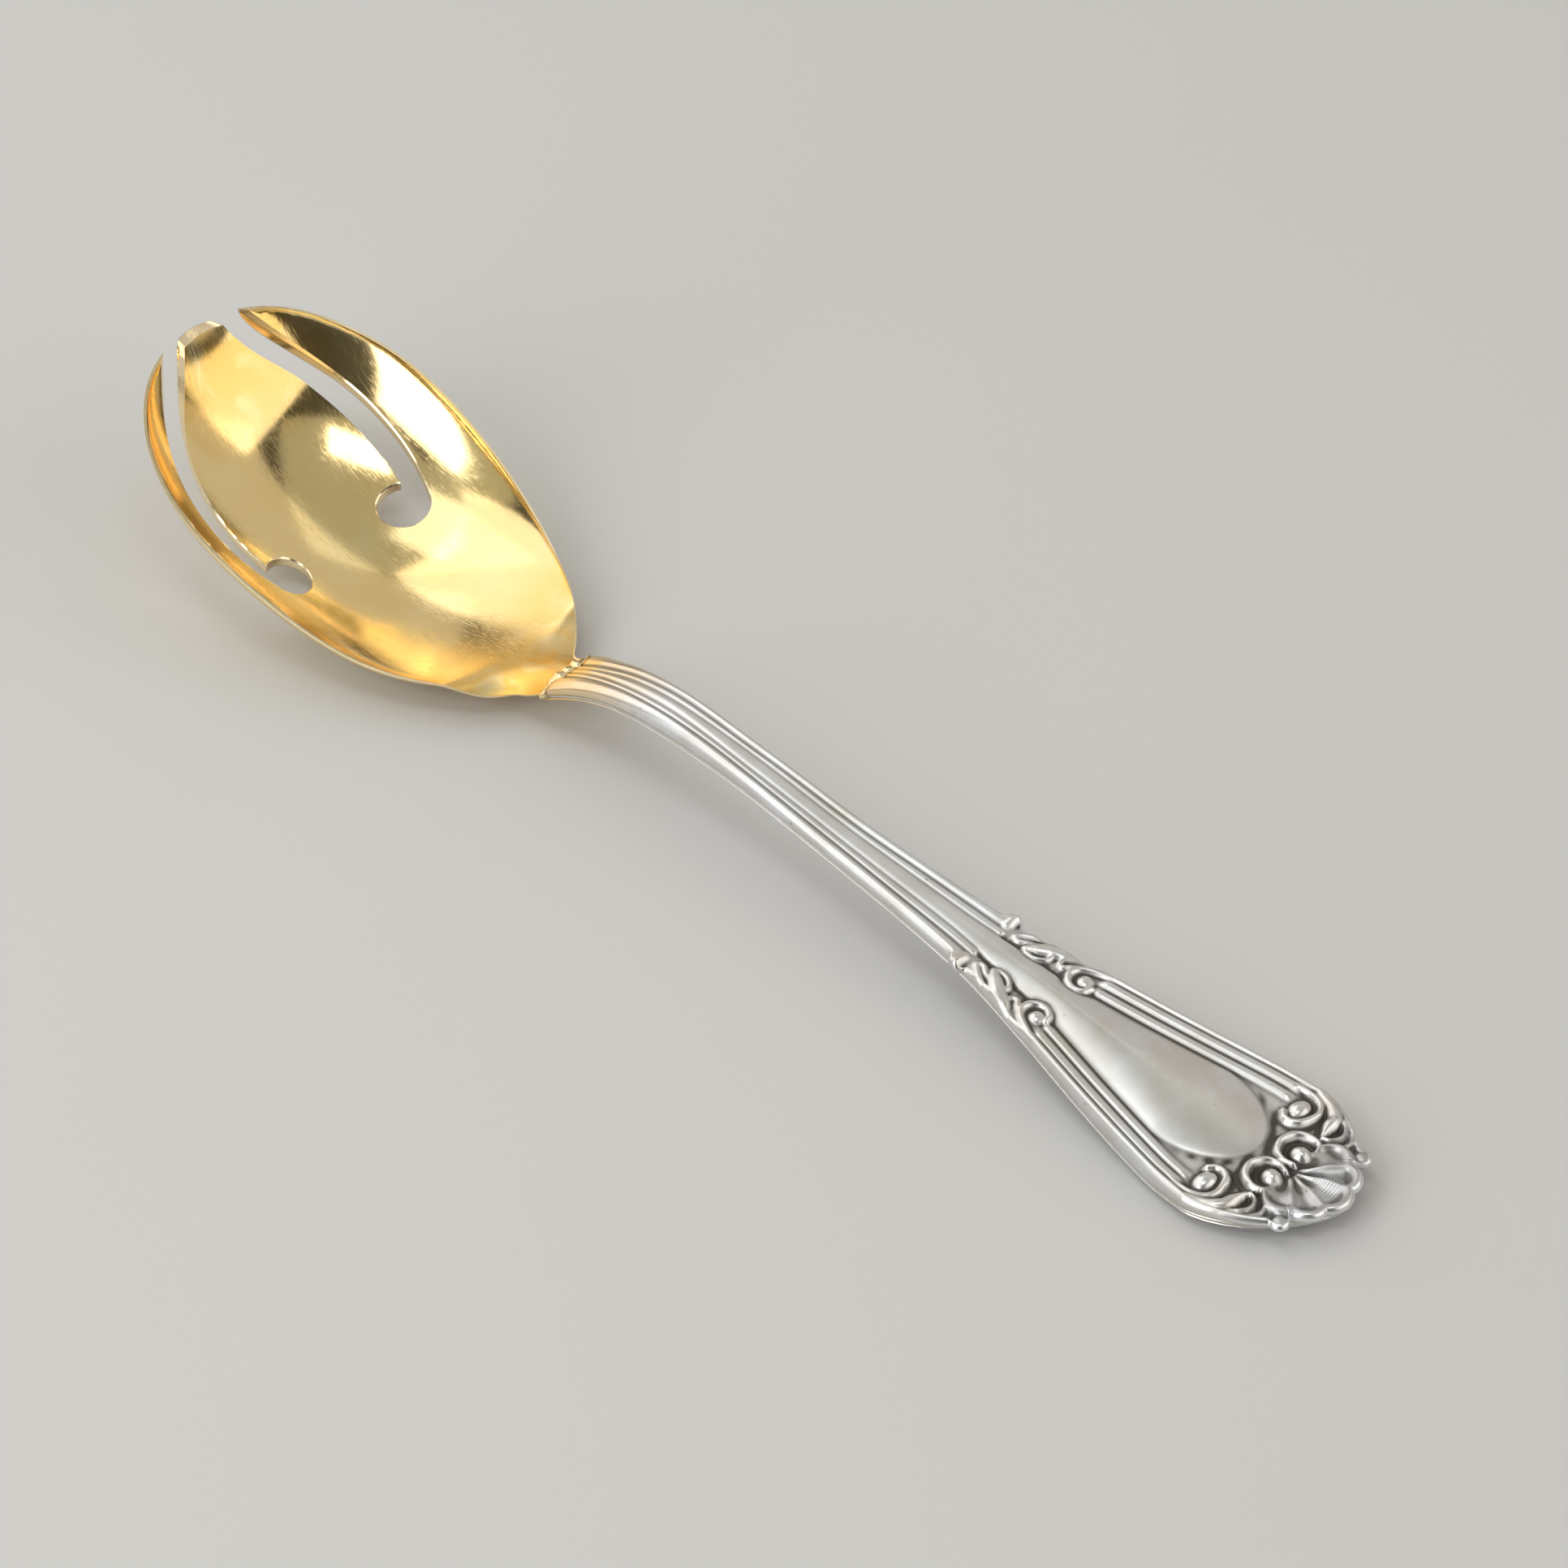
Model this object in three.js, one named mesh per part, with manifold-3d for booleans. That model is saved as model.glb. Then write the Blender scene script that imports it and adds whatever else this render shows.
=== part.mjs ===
// A serving fork: a gilt bowl cut into three broad tines, on a filled handle of two silver shells.
// Millimetres, +Z up, +X from the bowl to the tail. The origin is on the table, under the middle.
import * as THREE from 'three';
import { mergeVertices } from 'three/addons/utils/BufferGeometryUtils.js';
import Module from 'manifold-3d';

const wasm = await Module();
wasm.setup();

const { clamp, lerp, smoothstep } = THREE.MathUtils;

// Lengths along the fork, from the neck back to the tine tips and on to the tail
const NECK_X = -36.5;
const HEEL_LENGTH = 6.5;
const BOWL_BACK_LENGTH = 44;
const BOWL_FRONT_LENGTH = 30.6;
const STEM_LENGTH = 85.5;
const LEAF_LENGTH = 15;
const TAPER_LENGTH = 28;
const SHOULDER_LENGTH = 8;
const TAIL_LENGTH = 17.5;

// Bowl: an egg in plan, with a ground rim that climbs towards the tips
const BOWL_HALF_WIDTH = 25;
const BOWL_FRONT_FULLNESS = 2.15;
const BOWL_BACK_FULLNESS = 1.85;
const BOWL_BACK_OVERRUN = 3;
const BOWL_SHEET = 1.4;
const BOWL_WALL_FULLNESS = 0.7;
const RIM_LAND_SIDE = 1.1;
const RIM_LAND_TIP = 2.2;
const RIM_HEEL_HEIGHT = 5.9;
const RIM_SLOPE = 0.39;
const RIM_KNEE_FROM_HEEL = 16;
const RIM_KNEE_LENGTH = 7;
const FLOOR_LOW_FROM_HEEL = 27;
const FLOOR_FRONT_RISE = 36;
const FLOOR_PAST_TIP = 1.1;
const FLOOR_HEEL_FULLNESS = 1.7;
const WORN_DEPTH = 0.12;

// Slots: each runs beside the middle tine and ends in a round eye
const OUTER_TINE_WIDTH = 6.95;
const SLOT_WIDTH = 3.3;
const SLOT_BEND_AHEAD = 6.5;
const SLOT_BEND_RADIUS = 25;
const SLOT_BACK_LENGTH = 9.6;
const TINE_TIP_HALF_WIDTH = 2.6;
const TINE_TAPER = 2.3;
const EYE_RADIUS = 4.4;

// Heel and tang of the bowl, and the solder bead where they enter the handle
const HEEL_HALF_WIDTH = 8.6;
const HEEL_THICKNESS = 3.4;
const HEEL_EDGE_HEIGHT = 4;
const TANG_HALF_WIDTH = 2.5;
const TANG_THICKNESS = 0.8;
const TANG_LENGTH = 34;
const TANG_LEVEL = 0.58;
const TANG_CLEARANCE = 0.25;
const TANG_ROOT = 1;
const BEAD_LENGTH = 1;
const BEAD_PROUD = 0.25;
const JOINT_GAP = 0.2;

// Handle shells, the solder between them and the cement inside
const SHELL_WALL = 0.5;
const BACK_SHELL_DEPTH = 1.5;
const BACK_FULLNESS = 2.4;
const SEAM_THICKNESS = 0.3;
const SEAM_GAP = 0.15;
const SOLID_TAIL_LENGTH = 8.5;
const FILLER_FROM_NECK = 14.5;
const FILLER_SHORT_OF_END = 5.5;
const FILLER_CLEARANCE = 0.25;

// Handle outline: half-widths at the neck, the throat, the waist, the caps, the scrolls and the tail
const NECK_HALF_WIDTH = 5.75;
const THROAT_FROM_NECK = 10.5;
const THROAT_HALF_WIDTH = 4.35;
const WAIST_FROM_NECK = 44.5;
const WAIST_HALF_WIDTH = 3.75;
const CAP_HALF_WIDTH = 5.85;
const SCROLL_HALF_WIDTH = 8.7;
const SHOULDER_HALF_WIDTH = 14.1;
const TAIL_HALF_WIDTH = 15;
const TAIL_FULLNESS = 1.65;

// Handle face: a smooth panel between reeds, two a side on the stem and three on the flared end
const PANEL_STEM_HALF_WIDTH = 1;
const PANEL_STEM_RISE = 0.45;
const PANEL_TAIL_RISE = 1.15;
const STEM_GROOVE_HALF_WIDTH = 2.1;
const STEM_ROLL_WIDTH = 1.2;
const REED_WIDTH = 1.9;
const EDGE_REED_WIDTH = 1.05;
const REED_HEIGHT = 0.4;
const STEM_SIDE_LEAN = 0.35;
const TAIL_UNDERCUT = 0.5;

// Places that several pieces share
const HEEL_X = NECK_X - HEEL_LENGTH;
const BOWL_WIDEST_X = HEEL_X - BOWL_BACK_LENGTH;
const TIP_X = BOWL_WIDEST_X - BOWL_FRONT_LENGTH;
const FLOOR_LOW_X = HEEL_X - FLOOR_LOW_FROM_HEEL;
const SLOT_BEND_X = BOWL_WIDEST_X - SLOT_BEND_AHEAD;
const EYE_X = SLOT_BEND_X + SLOT_BACK_LENGTH;
const SHELL_START_X = NECK_X + BEAD_LENGTH + 2 * JOINT_GAP;
const CAP_X = NECK_X + STEM_LENGTH;
const SCROLL_X = CAP_X + LEAF_LENGTH;
const SHOULDER_X = SCROLL_X + TAPER_LENGTH;
const TAIL_X = SHOULDER_X + SHOULDER_LENGTH;
const END_X = TAIL_X + TAIL_LENGTH;
const CAVITY_END_X = END_X - SOLID_TAIL_LENGTH;

// Side view of the handle at hand-picked places: [x, height of the back, height of the face]
const HANDLE_LINE = [
  [NECK_X, 4.95, 7.9],
  [NECK_X + 6.5, 8.2, 11.4],
  [NECK_X + 14.5, 10.7, 14],
  [NECK_X + 24.5, 11.35, 15.05],
  [NECK_X + 40.5, 10.6, 13.9],
  [NECK_X + 58.5, 8.8, 11.75],
  [CAP_X - 3, 6.5, 9.55],
  [SCROLL_X, 3.7, 7.35],
  [SCROLL_X + TAPER_LENGTH / 2, 1.35, 5.6],
  [SHOULDER_X + 1, -WORN_DEPTH, 4.3],
  [TAIL_X + 3, 0.5, 3.85],
  [END_X, 2.2, 3.5],
];

// Ornament on each side: [x, distance in from the edge, half length, half width, height, turn]
const SIDE_BOSSES = {
  cap: [CAP_X, 0.65, 1.3, 1.8, 0.6, 0],
  leaf: [SCROLL_X - 9, 1.4, 4.2, 1.5, 0.8, 0.22],
  upperScroll: [SCROLL_X - 0.4, 3.5, 1.9, 1.9, 1, 0],
  lowerScroll: [TAIL_X - 1.2, 5.2, 2.3, 2.3, 0.9, 0],
  shoulderLeaf: [TAIL_X + 5.5, 3.2, 3.6, 2.2, 1, -0.5],
  sideBead: [TAIL_X + 12, 0.5, 1.4, 1.4, 1, 0],
};
const VOLUTE_FROM_TAIL = 5.6;
const VOLUTE_SPACING = 5.8;
const VOLUTE_RADIUS = 2.3;
const VOLUTE_HEIGHT = 1.3;
const FAN_LOBES = 7;
const FAN_REACH = 11;
const FAN_SPREAD = 2.5;
const FAN_SIDE_LOSS = 0.16;
const LOBE_ROOT_SHARE = 0.25;
const LOBE_HALF_WIDTH = 1.9;
const LOBE_HEIGHT = 1.1;
const BOSS_ROOT = 0.35;

// A smooth curve through stations: column 0 is the place, the chosen column is the value
function curveThrough(stations, column = 1) {
  const last = stations.length - 1;
  const slopeAt = (i) => {
    const before = stations[Math.max(i - 1, 0)];
    const after = stations[Math.min(i + 1, last)];
    return (after[column] - before[column]) / (after[0] - before[0]);
  };
  return (x) => {
    let i = 0;
    while (i < last - 1 && x > stations[i + 1][0]) i += 1;
    const start = stations[i];
    const end = stations[i + 1];
    const span = end[0] - start[0];
    const s = clamp((x - start[0]) / span, 0, 1);
    const rest = 1 - s;
    const fromStart = start[column] * (1 + 2 * s) + slopeAt(i) * span * s;
    const fromEnd = end[column] * (1 + 2 * rest) - slopeAt(i + 1) * span * rest;
    return fromStart * rest * rest + fromEnd * s * s;
  };
}

const superEllipse = (s, fullness) => (1 - clamp(Math.abs(s), 0, 1) ** fullness) ** (1 / fullness);

// Geometry to a solid for joining and cutting, turned inside out if its faces point inwards
function toSolid(geometry) {
  const bare = geometry.clone();
  bare.deleteAttribute('normal');
  bare.deleteAttribute('uv');
  const merged = mergeVertices(bare, 1e-4);
  const triVerts = new Uint32Array(merged.index.array);
  const vertProperties = new Float32Array(merged.attributes.position.array);
  const solid = new wasm.Manifold(new wasm.Mesh({ numProp: 3, vertProperties, triVerts }));
  if (solid.volume() > 0) return solid;
  for (let i = 0; i < triVerts.length; i += 3) {
    [triVerts[i + 1], triVerts[i + 2]] = [triVerts[i + 2], triVerts[i + 1]];
  }
  return new wasm.Manifold(new wasm.Mesh({ numProp: 3, vertProperties, triVerts }));
}

function meshSolid(points, triangles) {
  const geometry = new THREE.BufferGeometry();
  geometry.setAttribute('position', new THREE.Float32BufferAttribute(points.flat(), 3));
  geometry.setIndex(triangles);
  return toSolid(geometry);
}

// Solid between two skins of points, outer[i][j] and inner[i][j], with edges and ends closed
function skinSolid(outer, inner) {
  const rows = outer.length;
  const columns = outer[0].length;
  const triangles = [];
  const out = (i, j) => i * columns + j;
  const inn = (i, j) => (rows + i) * columns + j;
  const quad = (a, b, c, d) => triangles.push(a, b, c, a, c, d);
  const edge = columns - 1;
  const end = rows - 1;
  for (let i = 0; i < end; i += 1) {
    for (let j = 0; j < edge; j += 1) {
      quad(out(i, j), out(i, j + 1), out(i + 1, j + 1), out(i + 1, j));
      quad(inn(i, j), inn(i + 1, j), inn(i + 1, j + 1), inn(i, j + 1));
    }
    quad(out(i, 0), out(i + 1, 0), inn(i + 1, 0), inn(i, 0));
    quad(out(i, edge), inn(i, edge), inn(i + 1, edge), out(i + 1, edge));
  }
  for (let j = 0; j < edge; j += 1) {
    quad(out(0, j), inn(0, j), inn(0, j + 1), out(0, j + 1));
    quad(out(end, j), out(end, j + 1), inn(end, j + 1), inn(end, j));
  }
  return meshSolid([...outer.flat(), ...inner.flat()], triangles);
}

// Solid through rings of points, closed at both ends by fans
function ringSolid(rings) {
  const count = rings[0].length;
  const triangles = [];
  const last = (rings.length - 1) * count;
  for (let first = 0; first < last; first += count) {
    for (let j = 0; j < count; j += 1) {
      const next = (j + 1) % count;
      triangles.push(first + j, first + next, first + count + next);
      triangles.push(first + j, first + count + next, first + count + j);
    }
  }
  for (let j = 1; j < count - 1; j += 1) triangles.push(0, j + 1, j, last, last + j, last + j + 1);
  return meshSolid(rings.flat(), triangles);
}

// Everything under the table top, to cut the worn flats that the fork rests on
function underTable() {
  const span = 2 * (END_X - TIP_X);
  const block = new THREE.BoxGeometry(span, span, span);
  block.translate(0, 0, -span / 2);
  return toSolid(block);
}

// Handle lines: side view, seam and plan
const backLine = curveThrough(HANDLE_LINE, 1);
const faceLine = curveThrough(HANDLE_LINE, 2);
const seamHeight = (x) => backLine(x) + Math.min(BACK_SHELL_DEPTH, (faceLine(x) - backLine(x)) / 2);
const outlineCurve = curveThrough([
  [NECK_X, NECK_HALF_WIDTH],
  [NECK_X + THROAT_FROM_NECK, THROAT_HALF_WIDTH],
  [NECK_X + WAIST_FROM_NECK, WAIST_HALF_WIDTH],
  [CAP_X, CAP_HALF_WIDTH],
  [SCROLL_X, SCROLL_HALF_WIDTH],
  [SHOULDER_X, SHOULDER_HALF_WIDTH],
  [TAIL_X, TAIL_HALF_WIDTH],
]);

function handleHalfWidth(x) {
  if (x < TAIL_X) return outlineCurve(x);
  return TAIL_HALF_WIDTH * superEllipse((x - TAIL_X) / TAIL_LENGTH, TAIL_FULLNESS);
}

// Bowl lines: 0 at the heel's start and 1 at the neck, then half-width, rim, inside and outside
const heelShare = (x) => clamp((x - HEEL_X) / HEEL_LENGTH, 0, 1);

function bowlHalfWidth(x, sideLand, tipLand) {
  const half = BOWL_HALF_WIDTH - sideLand;
  const heel = lerp(HEEL_HALF_WIDTH, NECK_HALF_WIDTH, heelShare(x)) - sideLand;
  if (x > HEEL_X) return heel;
  if (x < BOWL_WIDEST_X) {
    return half * superEllipse((BOWL_WIDEST_X - x) / (BOWL_FRONT_LENGTH - tipLand), BOWL_FRONT_FULLNESS);
  }
  const reach = BOWL_BACK_LENGTH + BOWL_BACK_OVERRUN;
  return Math.max(half * superEllipse((x - BOWL_WIDEST_X) / reach, BOWL_BACK_FULLNESS), heel);
}

function rimHeight(x) {
  const run = HEEL_X - RIM_KNEE_FROM_HEEL - x;
  const climb = RIM_SLOPE * (run + Math.hypot(run, RIM_KNEE_LENGTH)) / 2;
  const drop = (RIM_HEEL_HEIGHT - HEEL_EDGE_HEIGHT) * smoothstep(x, HEEL_X - HEEL_LENGTH, HEEL_X);
  const lift = (seamHeight(NECK_X) - HEEL_EDGE_HEIGHT) * heelShare(x) ** 2;
  return RIM_HEEL_HEIGHT + climb - drop + lift;
}

function floorHeight(x) {
  if (x < FLOOR_LOW_X) {
    const reach = FLOOR_LOW_X - TIP_X - RIM_LAND_TIP + FLOOR_PAST_TIP;
    const s = Math.min((FLOOR_LOW_X - x) / reach, 1);
    return BOWL_SHEET + FLOOR_FRONT_RISE * (1 - Math.sqrt(1 - s * s));
  }
  const s = Math.min((x - FLOOR_LOW_X) / FLOOR_LOW_FROM_HEEL, 1);
  const crown = faceLine(NECK_X) + PANEL_STEM_RISE - RIM_HEEL_HEIGHT;
  return lerp(BOWL_SHEET, RIM_HEEL_HEIGHT, s ** FLOOR_HEEL_FULLNESS) + crown * heelShare(x) ** 2;
}

function undersideHeight(x) {
  const heelBottom = floorHeight(HEEL_X) - HEEL_THICKNESS;
  if (x > HEEL_X) return lerp(heelBottom, backLine(NECK_X), heelShare(x) ** 1.5);
  const step = 0.05;
  const slope = (floorHeight(x + step) - floorHeight(x - step)) / (2 * step);
  const sheet = lerp(BOWL_SHEET, HEEL_THICKNESS, smoothstep(x, HEEL_X - HEEL_LENGTH, HEEL_X));
  const steep = Math.min(Math.hypot(1, slope), 2);
  return Math.min(floorHeight(x) - sheet * steep - WORN_DEPTH * (1 - heelShare(x)), rimHeight(x));
}

// One skin of the bowl across its width at x, from rim to rim
function bowlProfile(x, halfWidth, middle) {
  const columns = 16;
  const rim = rimHeight(x);
  const points = [];
  for (let j = 0; j <= columns; j += 1) {
    const u = Math.sin((j / columns - 0.5) * Math.PI);
    const dip = Math.max(1 - u * u, 0) ** BOWL_WALL_FULLNESS;
    points.push([x, u * halfWidth, lerp(rim, middle, dip)]);
  }
  return points;
}

function bowlShell() {
  const stations = 34;
  const firstTurn = 0.03;
  const outer = [];
  const inner = [];
  for (let i = 0; i <= stations; i += 1) {
    const ease = 0.5 - 0.5 * Math.cos(lerp(firstTurn, 1, i / stations) * Math.PI);
    const outside = lerp(TIP_X, NECK_X, ease);
    const inside = lerp(TIP_X + RIM_LAND_TIP, NECK_X, ease);
    const land = RIM_LAND_SIDE * (1 - heelShare(inside));
    const floor = Math.min(floorHeight(inside), inside < HEEL_X ? rimHeight(inside) : Infinity);
    outer.push(bowlProfile(outside, bowlHalfWidth(outside, 0, 0), undersideHeight(outside)));
    inner.push(bowlProfile(inside, bowlHalfWidth(inside, land, RIM_LAND_TIP), floor));
  }
  return skinSolid(outer, inner);
}

// Edge of the middle tine in plan, which is the inner edge of each slot
function middleTineEdge(x) {
  const widest = BOWL_HALF_WIDTH - OUTER_TINE_WIDTH - SLOT_WIDTH;
  if (x > SLOT_BEND_X) return widest - (x - SLOT_BEND_X) ** 2 / (2 * SLOT_BEND_RADIUS);
  const s = (SLOT_BEND_X - x) / (SLOT_BEND_X - TIP_X);
  return lerp(widest, TINE_TIP_HALF_WIDTH, s ** TINE_TAPER);
}

// Upright cutter for one slot and its eye; side is +1 or -1
function slotCutter(side) {
  const steps = 16;
  const height = 2 * rimHeight(TIP_X);
  const start = TIP_X - SLOT_WIDTH;
  const nearEdge = [];
  const farEdge = [];
  for (let i = 0; i <= steps; i += 1) {
    const x = lerp(start, EYE_X, i / steps);
    nearEdge.push(new THREE.Vector2(x, side * middleTineEdge(x)));
    farEdge.unshift(new THREE.Vector2(x, side * (middleTineEdge(x) + SLOT_WIDTH)));
  }
  const band = new THREE.Shape([...nearEdge, ...farEdge]);
  const slot = new THREE.ExtrudeGeometry(band, { depth: height, bevelEnabled: false });
  const eye = new THREE.CylinderGeometry(EYE_RADIUS, EYE_RADIUS, height, 24);
  eye.rotateX(Math.PI / 2);
  eye.translate(EYE_X, side * (middleTineEdge(EYE_X) + SLOT_WIDTH - EYE_RADIUS), height / 2);
  return toSolid(slot).add(toSolid(eye));
}

// Tang: a flat strip that follows the neck. To cut room for it, grow widens it for the clearance
// and headroom opens the room upwards.
function tangSolid(grow, headroom) {
  const steps = 12;
  const half = TANG_HALF_WIDTH + grow;
  const thick = TANG_THICKNESS / 2 + grow;
  const rings = [];
  for (let i = 0; i <= steps; i += 1) {
    const x = lerp(NECK_X - TANG_ROOT, NECK_X + TANG_LENGTH + grow, i / steps);
    const middle = lerp(backLine(x), faceLine(x), TANG_LEVEL);
    const bottom = middle - thick;
    const top = middle + thick + headroom;
    rings.push([[x, -half, bottom], [x, half, bottom], [x, half, top], [x, -half, top]]);
  }
  return ringSolid(rings);
}

function forkBowl() {
  const cut = bowlShell().subtract(slotCutter(1)).subtract(slotCutter(-1)).subtract(underTable());
  return cut.add(tangSolid(0, 0));
}

// Solder bead round the tang, a little proud of the two pieces that it joins
function neckSolder() {
  const count = 24;
  const rings = [];
  for (const [along, proud] of [[0, 0.3], [0.3, 1], [0.7, 1], [1, 0.3]]) {
    const x = NECK_X + JOINT_GAP + BEAD_LENGTH * along;
    const grow = BEAD_PROUD * proud;
    const middle = seamHeight(x);
    const high = faceLine(x) + PANEL_STEM_RISE + grow - middle;
    const low = middle - backLine(x) + grow;
    const ring = [];
    for (let j = 0; j < count; j += 1) {
      const angle = 2 * Math.PI * j / count;
      const rise = Math.sin(angle) * (Math.sin(angle) > 0 ? high : low);
      ring.push([x, (handleHalfWidth(x) + grow) * Math.cos(angle), middle + rise]);
    }
    rings.push(ring);
  }
  return ringSolid(rings).subtract(tangSolid(TANG_CLEARANCE, 0));
}

// Shares along the handle: stem to flared end, reeds to plain tail, hollow to solid tail
const flareShare = (x) => smoothstep(x, CAP_X, SCROLL_X + EDGE_REED_WIDTH);
const reedShare = (x) => 1 - smoothstep(x, SHOULDER_X + SHOULDER_LENGTH / 3, TAIL_X);
const hollowShare = (x) => 1 - smoothstep(x, CAVITY_END_X - 3 * SHELL_WALL, CAVITY_END_X);

function panelRise(x) {
  const rise = lerp(PANEL_STEM_RISE, PANEL_TAIL_RISE, flareShare(x));
  return rise * (1 - smoothstep(x, SHOULDER_X, TAIL_X + VOLUTE_FROM_TAIL));
}

const seamHalfWidth = (x) => {
  const half = handleHalfWidth(x);
  return half - Math.min(TAIL_UNDERCUT * flareShare(x), half / 4);
};

// Right half of the face from the middle of the panel to the seam, as [y, z] points
function faceHalfProfile(x) {
  const half = handleHalfWidth(x);
  const flare = flareShare(x);
  const reeds = EDGE_REED_WIDTH + 2 * REED_WIDTH;
  const squeeze = Math.min(1, 0.7 * half / reeds);
  const outerGroove = half - lerp(STEM_ROLL_WIDTH, EDGE_REED_WIDTH * squeeze, flare);
  const stemGroove = Math.min(STEM_GROOVE_HALF_WIDTH, 0.8 * outerGroove);
  const middleGroove = lerp(stemGroove, half - (reeds - REED_WIDTH) * squeeze, flare);
  const panelEdge = lerp(Math.min(PANEL_STEM_HALF_WIDTH, 0.6 * stemGroove), half - reeds * squeeze, flare);
  const face = faceLine(x);
  const reed = REED_HEIGHT * reedShare(x);
  const lean = lerp(STEM_SIDE_LEAN, STEM_SIDE_LEAN / 3, flare);
  const seam = seamHeight(x) + SEAM_THICKNESS / 2 + SEAM_GAP;
  return [
    [0, face + panelRise(x)],
    [panelEdge * 0.55, face + panelRise(x) * 0.75],
    [panelEdge, face + lerp(0.12, -0.2, flare)],
    [(panelEdge + middleGroove) / 2, face + reed + lerp(0.05, -0.1, flare)],
    [middleGroove, face],
    [(middleGroove + outerGroove) / 2, face + reed + lerp(-0.05, 0.15, flare)],
    [outerGroove, face + lerp(reed + 0.1, 0.25, flare)],
    [(outerGroove + half - lean) / 2, face + reed + lerp(0.1, 0.25, flare)],
    [half - lean, face + lerp(0, 0.3, flare)],
    [half, (seam + face) / 2],
    [seamHalfWidth(x), seam],
  ];
}

// Inside of the front shell: level under the face, and straight down at the sides
function frontInsideProfile(x) {
  const [, seam] = faceHalfProfile(x).at(-1);
  const half = seamHalfWidth(x) - Math.min(SHELL_WALL, seamHalfWidth(x) / 4);
  const ceiling = lerp(seam, faceLine(x) - SHELL_WALL, hollowShare(x));
  const points = [];
  for (let k = 0; k <= 8; k += 1) points.push([0.85 * half * k / 8, ceiling]);
  points.push([half, lerp(seam, ceiling, 0.8)]);
  points.push([half, seam]);
  return points;
}

// Places of the stations along the handle, closer together round the tail
function handleStations() {
  const straight = 36;
  const round = 9;
  const lastTurn = 0.47;
  const places = [];
  for (let i = 0; i < straight; i += 1) places.push(lerp(SHELL_START_X, TAIL_X, i / straight));
  for (let i = 0; i <= round; i += 1) {
    places.push(TAIL_X + TAIL_LENGTH * Math.sin(lastTurn * Math.PI * i / round));
  }
  return places;
}

function bothHalves(halfProfile, x) {
  const right = halfProfile.map(([y, z]) => [x, y, z]);
  const left = halfProfile.slice(1).reverse().map(([y, z]) => [x, -y, z]);
  return [...left, ...right];
}

// A low dome that leans with the face and is rooted in the shell's wall
function boss(x, y, halfLength, halfWidth, height, turn) {
  const bends = 3;
  const dome = [new THREE.Vector2(0, -BOSS_ROOT), new THREE.Vector2(1, -BOSS_ROOT)];
  for (let k = 0; k < bends; k += 1) {
    const angle = Math.PI / 2 * k / bends;
    dome.push(new THREE.Vector2(Math.cos(angle), height * Math.sin(angle)));
  }
  dome.push(new THREE.Vector2(0, height));
  const geometry = new THREE.LatheGeometry(dome, 10);
  geometry.rotateX(Math.PI / 2);
  geometry.scale(halfLength, halfWidth, 1);
  geometry.rotateZ(turn);
  geometry.rotateY(-Math.atan((faceLine(x + 1) - faceLine(x - 1)) / 2));
  geometry.translate(x, y, faceLine(x));
  return toSolid(geometry);
}

// Shell at the tail: lobes that fan out from between the two volutes
function fanLobes() {
  const lobes = [];
  const centre = TAIL_X + TAIL_LENGTH - FAN_REACH;
  for (let i = 0; i < FAN_LOBES; i += 1) {
    const angle = FAN_SPREAD * (i / (FAN_LOBES - 1) - 0.5);
    const reach = FAN_REACH * (1 - FAN_SIDE_LOSS * Math.abs(angle));
    const halfLength = reach * (1 - LOBE_ROOT_SHARE) / 2;
    const middle = reach - halfLength;
    const x = centre + middle * Math.cos(angle);
    lobes.push(boss(x, middle * Math.sin(angle), halfLength, LOBE_HALF_WIDTH, LOBE_HEIGHT, angle));
  }
  return lobes;
}

function sideOrnament(side) {
  const bosses = Object.values(SIDE_BOSSES).map(([x, inset, length, width, height, turn]) => {
    return boss(x, side * (handleHalfWidth(x) - inset), length, width, height, side * turn);
  });
  const x = TAIL_X + VOLUTE_FROM_TAIL;
  bosses.push(boss(x, side * VOLUTE_SPACING / 2, VOLUTE_RADIUS, VOLUTE_RADIUS, VOLUTE_HEIGHT, 0));
  return bosses;
}

function frontShell() {
  const places = handleStations();
  const outer = places.map((x) => bothHalves(faceHalfProfile(x), x));
  const inner = places.map((x) => bothHalves(frontInsideProfile(x), x));
  const bosses = [...fanLobes(), ...sideOrnament(1), ...sideOrnament(-1)];
  return bosses.reduce((shell, piece) => shell.add(piece), skinSolid(outer, inner));
}

// Right half of the back from its middle to the seam; inset and lift give its inside
function backHalfProfile(x, inset, lift) {
  const columns = 7;
  const half = seamHalfWidth(x) - inset;
  const seam = seamHeight(x) - SEAM_THICKNESS / 2 - SEAM_GAP;
  const low = Math.min(backLine(x) + lift, seam);
  const points = [];
  for (let j = 0; j <= columns; j += 1) {
    const u = Math.sin(Math.PI / 2 * j / columns);
    points.push([u * half, lerp(seam, low, superEllipse(u, BACK_FULLNESS))]);
  }
  return points;
}

function backShell() {
  const places = handleStations();
  const outer = places.map((x) => bothHalves(backHalfProfile(x, 0, 0), x));
  const inner = places.map((x) => {
    const inset = Math.min(SHELL_WALL, seamHalfWidth(x) / 4);
    const lift = lerp(BACK_SHELL_DEPTH, SHELL_WALL, hollowShare(x));
    return bothHalves(backHalfProfile(x, inset, lift), x);
  });
  return skinSolid(outer, inner).subtract(underTable());
}

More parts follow.
